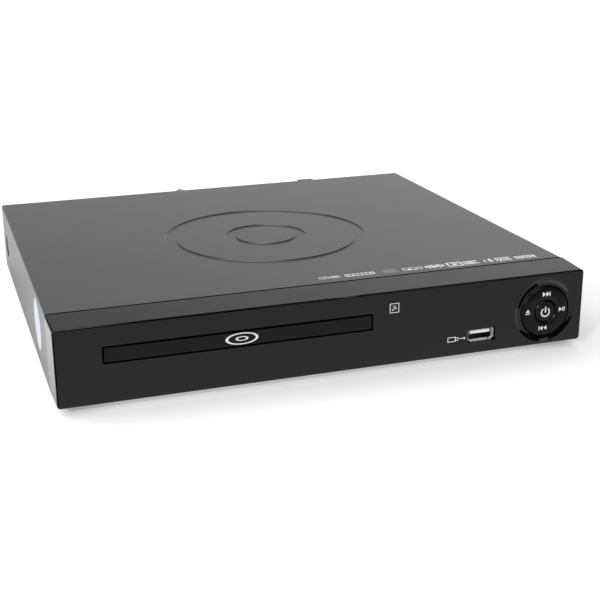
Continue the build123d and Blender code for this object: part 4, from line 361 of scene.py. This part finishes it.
looks = {
    "cover_paint": coverFinish(),
    "gloss_black": glossFinish("glossBlack", glossLook),
    "doorBlack": glossFinish("doorBlack", doorLook),
    "window_black": windowFinish(),
    "key_black": cloudy("satinBlack", (0.0016, 0.0018, 0.0026), (0.0024, 0.0026, 0.0036), 20.0,
                        (0.30, 0.38), 0.35, 0.002, IOR=1.32),
    "lightWindow": cloudy("darkWindow", (0.0010, 0.0010, 0.0012), (0.0018, 0.0018, 0.0022), 4.0,
                          (0.20, 0.30), 0.5, 0.001, IOR=1.10),
    "shellSteel": shellFinish(),
    "tongueWhite": cloudy("tongueWhite", (0.90, 0.90, 0.90), (0.94, 0.94, 0.94), 3.0,
                          (0.22, 0.32), 0.4, 0.003),
    "panel_paint": cloudy("finePaint", (0.012, 0.012, 0.013), (0.020, 0.020, 0.021), 30.0,
                          (0.45, 0.6), 0.6, 0.01),
    "zinc_steel": zincFinish(),
    "black_plastic": cloudy("sparkedBlack", (0.018, 0.018, 0.019), (0.030, 0.030, 0.031), 25.0,
                            (0.42, 0.6), 0.5, 0.018),
    "foot_rubber": rubberFinish("footRubber", (0.016, 0.016, 0.016), 1.3, 0.06),
    "grommet_rubber": rubberFinish("grommetRubber", (0.05, 0.05, 0.055), 0.8, 0.02),
    "belt_rubber": rubberFinish("beltRubber", (0.012, 0.012, 0.012), 0.4, 0.01),
    "board_green": boardFinish("greenBoard", (0.012, 0.10, 0.035), (0.025, 0.17, 0.06), 2.2),
    "board_tan": boardFinish("paperBoard", (0.40, 0.26, 0.11), (0.47, 0.32, 0.15), 5.0),
    "chip_black": cloudy("chipPackage", (0.014, 0.014, 0.015), (0.022, 0.022, 0.023), 4.0,
                         (0.5, 0.65), 0.3, 0.01),
    "natural_plastic": cloudy("acetal", (0.66, 0.66, 0.60), (0.74, 0.74, 0.70), 8.0,
                              (0.3, 0.42), 0.6, 0.006, Subsurface_Weight=0.05),
    "white_plastic": cloudy("whiteMoulding", (0.70, 0.70, 0.68), (0.78, 0.78, 0.76), 6.0,
                            (0.25, 0.36), 0.4, 0.004),
    "plated_steel": brushed("nickelPlate", (0.74, 0.74, 0.74), (1.0, 0.2, 1.0), 0.14),
    "gold_contacts": brushed("goldFlash", (0.90, 0.64, 0.25), (1.0, 0.1, 1.0), 0.16),
    "jack_colours": jackFinish(),
    "motor_steel": brushed("drawnCan", (0.52, 0.53, 0.55), (1.0, 1.0, 6.0), 0.22),
    "rod_steel": brushed("groundRod", (0.72, 0.73, 0.74), (8.0, 0.3, 8.0), 0.08),
    "pickup_alloy": cloudy("dieCast", (0.30, 0.31, 0.33), (0.42, 0.43, 0.45), 3.0,
                           (0.38, 0.55), 0.5, 0.03, metallic=0.9),
    "lens_glass": lensFinish("coatedLens", (0.55, 0.70, 0.95, 1.0), 0.02),
    "fuse_glass": lensFinish("fuseGlass", (0.85, 0.90, 0.88, 1.0), 0.05),
    "magnet_steel": brushed("platedYoke", (0.46, 0.46, 0.48), (1.0, 1.0, 1.0), 0.2),
    "winding_yellow": cloudy("windingTape", (0.62, 0.44, 0.05), (0.78, 0.60, 0.12), 5.0,
                             (0.2, 0.35), 1.0, 0.03),
    "capacitor_sleeve": cloudy("sleeve", (0.012, 0.014, 0.030), (0.020, 0.024, 0.045), 6.0,
                               (0.18, 0.3), 0.8, 0.01),
    "sink_aluminium": brushed("extrudedAluminium", (0.68, 0.69, 0.71), (1.0, 1.0, 0.15), 0.28),
    "cable_white": cloudy("flatCable", (0.68, 0.69, 0.70), (0.76, 0.77, 0.78), 4.0,
                          (0.3, 0.42), 0.7, 0.01),
    "screw_black": cloudy("blackZinc", (0.025, 0.025, 0.028), (0.06, 0.06, 0.065), 2.0,
                          (0.28, 0.42), 0.5, 0.006, metallic=0.8),
    "screw_zinc": brushed("zincScrew", (0.62, 0.62, 0.60), (1.0, 1.0, 1.0), 0.24),
}
slotOf = {entry["node"]: entry["material_slot"] for entry in frame["record"]["subparts"]}
ownLooks = {"tray_door": "doorBlack", "light_window": "lightWindow", "usb_tongue": "tongueWhite",
            "usb_shell": "shellSteel"}
for name, node in nodes.items():
    node.data.materials.clear()
    node.data.materials.append(looks[ownLooks.get(name, slotOf[name])])
print("finishes made", len(looks))


# White and grey print, and label stock
printLook = {"patch": 0.5, "spread": 0.1}


def printFinish(name, ink, worn, rough):
    finish = Finish(name)
    patch = finish.noise(printLook["patch"], 3.0)
    return finish.set(Base_Color=finish.blend(patch, ink, worn),
                      Roughness=patch * printLook["spread"] + rough)


whiteInk = printFinish("whiteInk", (0.80, 0.80, 0.81), (0.70, 0.70, 0.71), 0.45)
greyInk = printFinish("greyInk", (0.34, 0.34, 0.34), (0.27, 0.27, 0.27), 0.45)
labelPaper = printFinish("labelPaper", (0.58, 0.61, 0.64), (0.545, 0.575, 0.605), 0.36)


# Flat marks: each shape is drawn in mm on the ground at the origin, then joined, thickened and put in place
def clearSelection():
    if bpy.context.object and bpy.context.object.mode != "OBJECT":
        bpy.ops.object.mode_set(mode="OBJECT")
    bpy.ops.object.select_all(action="DESELECT")


def bar(x, y, width, height):
    clearSelection()
    bpy.ops.mesh.primitive_plane_add(size=1.0, location=(x, y, 0.0))
    shape = bpy.context.object
    shape.scale = (width, height, 1.0)
    bpy.ops.object.transform_apply()
    return shape


def arrow(x, y, width, height, turn=0.0):
    clearSelection()
    bpy.ops.mesh.primitive_circle_add(vertices=3, radius=1.0, fill_type="NGON")
    shape = bpy.context.object
    shape.rotation_euler = (0.0, 0.0, radians(-90.0))
    bpy.ops.object.transform_apply()
    shape.scale = (width / 1.5, height / (2 * sin(radians(60.0))), 1.0)
    bpy.ops.object.transform_apply()
    shape.rotation_euler = (0.0, 0.0, radians(turn))
    shape.location = (x, y, 0.0)
    bpy.ops.object.transform_apply()
    return shape


def disc(x, y, radius, squash=1.0, corners=32):
    clearSelection()
    bpy.ops.mesh.primitive_circle_add(vertices=corners, radius=radius, fill_type="NGON")
    shape = bpy.context.object
    shape.scale = (1.0, squash, 1.0)
    shape.location = (x, y, 0.0)
    bpy.ops.object.transform_apply()
    return shape


def hoop(x, y, radius, line, squash=1.0, corners=40, gap=0.0, middle=90.0):
    clearSelection()
    bpy.ops.mesh.primitive_circle_add(vertices=corners, radius=radius, fill_type="NOTHING")
    shape = bpy.context.object
    if gap:
        for vertex in shape.data.vertices:
            toward = vertex.co.normalized().dot(Vector((cos(radians(middle)), sin(radians(middle)), 0.0)))
            vertex.select = toward > cos(radians(gap / 2))
        for edge in shape.data.edges:
            edge.select = all(shape.data.vertices[index].select for index in edge.vertices)
        bpy.ops.object.mode_set(mode="EDIT")
        bpy.ops.mesh.delete(type="VERT")
        bpy.ops.object.mode_set(mode="OBJECT")
    bpy.ops.object.mode_set(mode="EDIT")
    bpy.ops.mesh.select_all(action="SELECT")
    bpy.ops.mesh.extrude_edges_move()
    bpy.ops.transform.resize(value=((radius - line) / radius,) * 3, center_override=(0.0, 0.0, 0.0))
    bpy.ops.object.mode_set(mode="OBJECT")
    shape.scale = (1.0, squash, 1.0)
    shape.location = (x, y, 0.0)
    bpy.ops.object.transform_apply()
    return shape


def outline(x, y, width, height, line):
    return [bar(x, y + (height - line) / 2, width, line), bar(x, y - (height - line) / 2, width, line),
            bar(x - (width - line) / 2, y, line, height - 2 * line),
            bar(x + (width - line) / 2, y, line, height - 2 * line)]


def flatten(shapes):
    flat = []
    for shape in shapes:
        flat += flatten(shape) if isinstance(shape, list) else [shape]
    return flat


inkThickness = 0.02
weldDistance = 0.0005
wrapCuts = 3
facings = {"front": (90.0, 0.0, 0.0), "top": (0.0, 0.0, 0.0), "left": (90.0, 0.0, -90.0)}


def printOn(name, shapes, facing, place, body, ink, wrap=None, thickness=inkThickness):
    shapes = flatten(shapes)
    clearSelection()
    for shape in shapes:
        shape.select_set(True)
    bpy.context.view_layer.objects.active = shapes[0]
    if len(shapes) > 1:
        bpy.ops.object.join()
    mark = bpy.context.object
    mark.name = name
    mark.data.name = name
    bpy.ops.object.mode_set(mode="EDIT")
    bpy.ops.mesh.select_all(action="SELECT")
    bpy.ops.mesh.remove_doubles(threshold=weldDistance)
    bpy.ops.mesh.normals_make_consistent(inside=False)
    bpy.ops.object.mode_set(mode="OBJECT")
    if mark.data.polygons[0].normal.z < 0:
        mark.data.flip_normals()
    mark.scale = (mm, mm, mm)
    mark.rotation_euler = [radians(angle) for angle in facings[facing]]
    mark.location = place
    bpy.ops.object.transform_apply()
    if wrap:
        bpy.ops.object.mode_set(mode="EDIT")
        bpy.ops.mesh.select_all(action="SELECT")
        bpy.ops.mesh.quads_convert_to_tris()
        bpy.ops.mesh.subdivide(number_cuts=wrapCuts)
        bpy.ops.object.mode_set(mode="OBJECT")
        cling = mark.modifiers.new("cling", "SHRINKWRAP")
        cling.target = nodes[wrap]
        cling.wrap_method = "PROJECT"
        cling.use_project_y = True
        cling.use_positive_direction = True
        cling.use_negative_direction = True
        bpy.ops.object.modifier_apply(modifier=cling.name)
    layer = mark.modifiers.new("ink", "SOLIDIFY")
    layer.thickness = thickness * mm
    layer.offset = 1.0
    bpy.ops.object.modifier_apply(modifier=layer.name)
    mark.data.materials.clear()
    mark.data.materials.append(ink)
    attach(mark, body)
    return mark


# Signs on the ring key and the power key
keySigns = {"centre": (113.0, 18.5), "line": 0.45, "ringFace": 0.3,
            "powerCentre": (113.4, 17.25), "powerLine": 0.72, "powerFace": 0.2}
cx, cz = keySigns["centre"]
line = keySigns["line"]
printOn("ringSigns",
        [arrow(-1.15, 8.5, 1.8, 2.5), arrow(1.0, 8.5, 1.9, 2.5), bar(2.45, 8.5, line, 2.5),
         arrow(0.95, -9.65, 1.8, 2.4, 180.0), arrow(-1.3, -9.65, 1.8, 2.4, 180.0),
         bar(-2.75, -9.65, line, 2.3),
         arrow(8.9, -0.55, 1.8, 2.3), bar(10.5, -0.55, 0.5, 2.2), bar(11.4, -0.55, 0.5, 2.2),
         arrow(-9.7, 0.15, 1.7, 2.3, 90.0), bar(-9.7, -1.15, 2.4, line)],
        "front", (cx * mm, behind(keySigns["ringFace"]), above(cz)), "control_ring", whiteInk,
        wrap="control_ring")
power = keySigns["powerCentre"]
printOn("powerSign",
        [hoop(0.0, 0.0, 2.6, keySigns["powerLine"], gap=66.0), bar(0.0, 1.35, keySigns["powerLine"], 3.1)],
        "front", (power[0] * mm, behind(keySigns["powerFace"]), above(power[1])), "power_button",
        whiteInk, wrap="power_button")

# Thin square round the sensor's window, with a small wave sign in its middle
windowSign = {"centre": (29.5, 29.4), "side": 4.9, "line": 0.3}
printOn("windowSign",
        [outline(0.0, 0.0, windowSign["side"], windowSign["side"], windowSign["line"]),
         disc(-1.0, -0.9, 0.38, corners=16),
         hoop(-1.0, -0.9, 1.35, windowSign["line"], gap=270.0, middle=225.0),
         hoop(-1.0, -0.9, 2.2, windowSign["line"], gap=270.0, middle=225.0)],
        "front", (windowSign["centre"][0] * mm, behind(0.0), above(windowSign["centre"][1])), "case",
        whiteInk)

# Sign left of the front socket: a plain memory stick with a lead to it
socketSign = {"centre": (63.0, 9.0)}
printOn("socketSign",
        [outline(-2.2, 0.0, 4.4, 2.6, 0.35), outline(0.75, 0.0, 1.6, 1.7, 0.32), bar(3.3, 0.0, 2.4, 0.35),
         disc(4.8, 0.0, 0.55, corners=16)],
        "front", (socketSign["centre"][0] * mm, behind(0.0), above(socketSign["centre"][1])), "case",
        whiteInk)

# Sign on the tray's door: a disc seen at a slant
doorSign = {"centre": (-47.6, 23.55), "slant": 0.36}
printOn("doorSign",
        [hoop(0.0, 0.0, 8.0, 1.3, squash=doorSign["slant"], corners=64),
         hoop(0.0, 0.0, 3.1, 1.0, squash=doorSign["slant"], corners=36)],
        "front", (doorSign["centre"][0] * mm, behind(0.0), above(doorSign["centre"][1])), "tray",
        whiteInk)

# Row of signs along the cover's front edge: what the player plays
coverTop = 38.2
rowSigns = {"left": (1.2, 31.0), "right": (123.1, 29.6)}


def rowY(x):
    x0, y0 = rowSigns["left"]
    x1, y1 = rowSigns["right"]
    return y0 + (y1 - y0) * (x - x0) / (x1 - x0)


def onCover(name, x, shapes, ink=whiteInk):
    place = (x * mm, behind(rowY(x)), above(coverTop))
    return printOn(name, shapes, "top", place, "case", ink)


onCover("rowDisc", 7.3, [hoop(-2.8, 0.0, 3.0, 0.6, squash=0.62), disc(-2.8, 0.0, 0.9, squash=0.62),
                         bar(3.2, 1.2, 5.2, 0.6), bar(2.6, 0.0, 4.0, 0.6), bar(3.2, -1.2, 5.2, 0.6)])
filmFrame = outline(0.0, 0.0, 16.0, 3.8, 0.55)
filmHoles = [[bar(-6.0 + 2.4 * k, y, 1.3, 0.7) for k in range(6)] for y in (0.9, -0.9)]
onCover("rowFilm", 23.5, [filmFrame, filmHoles])
onCover("rowLines", 40.1, [bar(0.0, 1.8, 8.4, 0.8), bar(-1.0, 0.0, 6.4, 0.8), bar(0.0, -1.8, 8.4, 0.8)],
        greyInk)
onCover("rowPicture", 52.3, [outline(0.0, 0.0, 10.6, 3.8, 0.5), arrow(-1.6, -0.5, 2.2, 3.2, 90.0),
                             arrow(1.8, -0.7, 1.4, 2.6, 90.0), disc(3.3, 0.7, 0.45, corners=16)])
onCover("rowTones", 64.6, [bar(-4.6 + 1.85 * k, 0.0, 1.2, height) for k, height in
                           enumerate((2.8, 4.4, 5.4, 3.8, 5.2, 3.0))])
onCover("rowPlay", 81.2, [outline(-5.2, 0.0, 8.4, 6.6, 1.0), arrow(-5.1, 0.0, 3.6, 4.0),
                          bar(4.1, 1.9, 8.6, 1.2), bar(3.2, 0.0, 6.8, 1.2), bar(4.1, -1.9, 8.6, 1.2)])
onCover("rowSound", 100.6, [bar(-6.4, 0.0, 2.6, 3.0), arrow(-4.6, 0.0, 4.2, 6.4, 180.0),
                            hoop(-4.2, 0.0, 4.4, 0.9, gap=270.0, middle=180.0),
                            hoop(-4.2, 0.0, 6.2, 0.9, gap=280.0, middle=180.0), bar(5.0, 0.0, 5.6, 1.1),
                            bar(5.0, 2.1, 5.6, 1.1), bar(5.0, -2.1, 5.6, 1.1)])
onCover("rowTiles", 116.9, [outline(-3.8, 0.0, 4.6, 4.2, 0.9), outline(1.2, 0.0, 4.6, 4.2, 0.9),
                            bar(-3.8, 0.0, 1.5, 1.2), bar(1.2, 0.0, 1.5, 1.2), bar(5.1, 0.0, 1.6, 4.2)])
print("signs printed")

# Blank round seal over the front screw of the left side
seal = {"centre": (59.0, 21.3), "x": -0.1348, "radius": 13.0, "thickness": 0.12}
printOn("sealLabel", [disc(0.0, 0.0, seal["radius"], corners=72)], "left",
        (seal["x"], behind(seal["centre"][0]), above(seal["centre"][1])), "case", labelPaper,
        thickness=seal["thickness"])
print("label placed")

# Floor: white paper that keeps the object's shadow, with painted light under the front edge, and painted
# patches of light and shade that only shiny faces see
floorLook = {"size": 12.0, "paper": (0.84, 0.84, 0.84), "worn": (0.86, 0.86, 0.86), "cloud": 400.0,
             "rough": 0.9, "lift": 0.24,
             "footLift": 0.18, "footStart": -0.1275, "footSoft": 0.006, "footEnd": 0.131, "footFade": 0.03,
             "footRear": -0.08,
             "farLift": 0.60, "farStart": 0.30, "farSoft": 0.30,
             "near": 0.62, "far": 0.57, "side": 1.90, "sideFall": 0.80, "sideFrom": -0.08, "sideSoft": 0.14,
             "rear": 0.9, "rearFrom": 0.10, "rearSoft": 0.04,
             "edge": (-0.185, 0.10), "edgeSoft": 0.03, "sideEdge": (-0.134, -0.165),
             "spot": (0.1345, -0.1605), "spotRadius": 0.0125, "spotGlow": 0.9,
             "cornerX": -0.1375, "cornerY": -0.127, "cornerGlow": 0.03}
clearSelection()
bpy.ops.mesh.primitive_plane_add(size=floorLook["size"], location=(0.0, 0.0, 0.0))
floor = bpy.context.object
floor.name = "studioFloor"
paper = Finish("studioPaper")
paperTone = paper.noise(floorLook["cloud"], 1.0)
paper.set(Base_Color=paper.blend(paperTone, floorLook["paper"], floorLook["worn"]),
          Roughness=floorLook["rough"], Specular_IOR_Level=0.0)
toCamera = paper.add("ShaderNodeLightPath", {}, {}, "Is Camera Ray")
toShine = paper.add("ShaderNodeLightPath", {}, {}, "Is Glossy Ray")
across = paper.axis("X")
along = paper.axis("Y")
# painted light: for the camera the floor is brightened in a strip under the case's front edge, lifting the
# shade beneath it
foot = along.rise(floorLook["footStart"], floorLook["footSoft"])
foot = foot * abs(across).rise(floorLook["footEnd"], -floorLook["footFade"])
foot = foot * along.rise(floorLook["footRear"], -floorLook["footFade"])
reach = (across ** 2.0 + along ** 2.0) ** 0.5
farness = reach.rise(floorLook["farStart"], floorLook["farSoft"])
lift = foot * floorLook["footLift"] + farness * floorLook["farLift"] + floorLook["lift"]
paper.set(Emission_Color=toCamera * lift, Emission_Strength=1.0)
# painted reflections: only reflection rays see this glow: bright beside the case's left side, paler behind
# it, dimmer in front, a small bright spot off the front right corner that paints a highlight into the ring
# key's dish, and a near-black patch off the front left corner that paints a dark reflection
edgeY, edgeSlope = floorLook["edge"]
soft = floorLook["edgeSoft"]
nearness = (along - across * edgeSlope).rise(edgeY - soft, 2 * soft)
rearness = along.rise(floorLook["rearFrom"], floorLook["rearSoft"])
sideStart, sideEnd = floorLook["sideEdge"]
sideness = across.rise(sideStart, sideEnd - sideStart) * (along > frontY)
sideShare = along.rise(floorLook["sideFrom"], floorLook["sideSoft"])
sideGlow = floorLook["side"] - sideShare * floorLook["sideFall"]
glow = nearness.span(floorLook["far"], floorLook["near"])
glow = glow.toward(floorLook["rear"], rearness).toward(sideGlow, sideness)
spotX, spotY = floorLook["spot"]
spotDistance = ((across - spotX) ** 2.0 + (along - spotY) ** 2.0) ** 0.5
spotShare = spotDistance.rise(floorLook["spotRadius"], -floorLook["spotRadius"] / 2)
glow = glow + spotShare * floorLook["spotGlow"]
corner = (across < floorLook["cornerX"]) * (along < floorLook["cornerY"])
glowing = paper.add("ShaderNodeEmission", {}, {"Color": glow.toward(floorLook["cornerGlow"], corner)})
plain = Wire(paper.tree, paper.shader.outputs[0])
mixed = paper.add("ShaderNodeMixShader", {}, {0: toShine, 1: plain, 2: glowing})
mixed.feed(paper.tree.nodes["Material Output"].inputs["Surface"])
floor.data.materials.append(paper.material)

# World: white to the camera, and for the object a room with a pale rear wall, dim above and in front
roomLook = {"white": 1.0, "low": 0.52, "toRight": 0.28, "toTop": -3.20, "horizon": 0.225,
            "climbLow": -0.12, "climbHigh": 0.042,
            "left": 0.06, "right": 0.46, "least": 0.30, "most": 1.0,
            "dim": 0.012, "wallStart": 0.30, "wallEnd": 0.62,
            "soft": 0.62, "softRear": 0.45, "softFront": 0.25,
            "band": 1.10, "bandLow": 0.34, "bandTop": 0.56, "bandFade": 0.06,
            "bandLeft": 0.30, "bandRight": 0.60, "bandSide": 0.08,
            "rim": 3.0, "rimLow": 0.80, "rimRight": 0.17, "rimRear": 0.25,
            "shadeStart": -0.40, "shadeEnd": -0.18}
world = bpy.data.worlds.new("studioRoom")
bpy.context.scene.world = world
world.use_nodes = True
room = world.node_tree
sky = room.nodes["Background"]
rayStep = room.nodes.new("ShaderNodeLightPath")
spotStep = room.nodes.new("ShaderNodeTexCoord")
splitStep = room.nodes.new("ShaderNodeSeparateXYZ")
room.links.new(spotStep.outputs["Generated"], splitStep.inputs[0])
seen = Wire(room, rayStep.outputs["Is Camera Ray"])
shine = Wire(room, rayStep.outputs["Is Glossy Ray"])
toRight, toRear, up = [Wire(room, splitStep.outputs[axis]) for axis in "XYZ"]
share = toRight.rise(roomLook["left"], roomLook["right"] - roomLook["left"])
climb = (up - roomLook["horizon"]).limit(roomLook["climbLow"], roomLook["climbHigh"])
wall = share * roomLook["toRight"] + roomLook["low"] + climb * roomLook["toTop"]
rearShare = toRear.rise(roomLook["wallStart"], roomLook["wallEnd"] - roomLook["wallStart"])
rearShare = rearShare * toRight.rise(roomLook["shadeStart"], roomLook["shadeEnd"] - roomLook["shadeStart"])
mirrored = (wall.limit(roomLook["least"], roomLook["most"]) - roomLook["dim"]) * rearShare + roomLook["dim"]
# a low band that the front's right half mirrors, and a high rim for its left end
bandShare = up.rise(roomLook["bandTop"], -roomLook["bandFade"]) * (toRear < 0.0)
bandShare = bandShare * up.rise(roomLook["bandLow"], roomLook["bandFade"])
bandShare = bandShare * toRight.rise(roomLook["bandRight"], -roomLook["bandSide"])
bandShare = bandShare * toRight.rise(roomLook["bandLeft"], roomLook["bandSide"])
rimShare = up.rise(roomLook["rimLow"], roomLook["bandFade"]) * (toRear < roomLook["rimRear"])
rimShare = rimShare * toRight.rise(roomLook["rimRight"], -roomLook["bandSide"])
mirrored = mirrored + bandShare * roomLook["band"] + rimShare * roomLook["rim"]
gentle = toRear.limit(0, 1) * roomLook["softRear"] + roomLook["soft"]
gentle = gentle + (-toRear).limit(0, 1) * roomLook["softFront"]
tone = shine * (mirrored - gentle) + gentle
(seen * (roomLook["white"] - tone) + tone).feed(sky.inputs["Color"])

# Soft boxes
softBoxes = {
    "overhead": {"place": (-0.95, 0.45, 1.05), "aim": (0.0, 0.0, 0.0), "size": (1.0, 1.0), "power": 8.5,
                 "mirrored": False},
    "frontLeft": {"place": (-0.72, -0.85, 0.52), "aim": (0.0, -0.05, 0.02), "size": (0.12, 0.12),
                  "power": 5.0, "mirrored": True},
}
for name, box in softBoxes.items():
    lamp = bpy.data.lights.new(name, "AREA")
    lamp.shape = "RECTANGLE"
    lamp.size, lamp.size_y = box["size"]
    lamp.energy = box["power"]
    holder = bpy.data.objects.new(name, lamp)
    bpy.context.scene.collection.objects.link(holder)
    holder.location = box["place"]
    direction = Vector(box["aim"]) - Vector(box["place"])
    holder.rotation_euler = direction.to_track_quat("-Z", "Y").to_euler()
    holder.visible_glossy = box["mirrored"]
print("lights set")
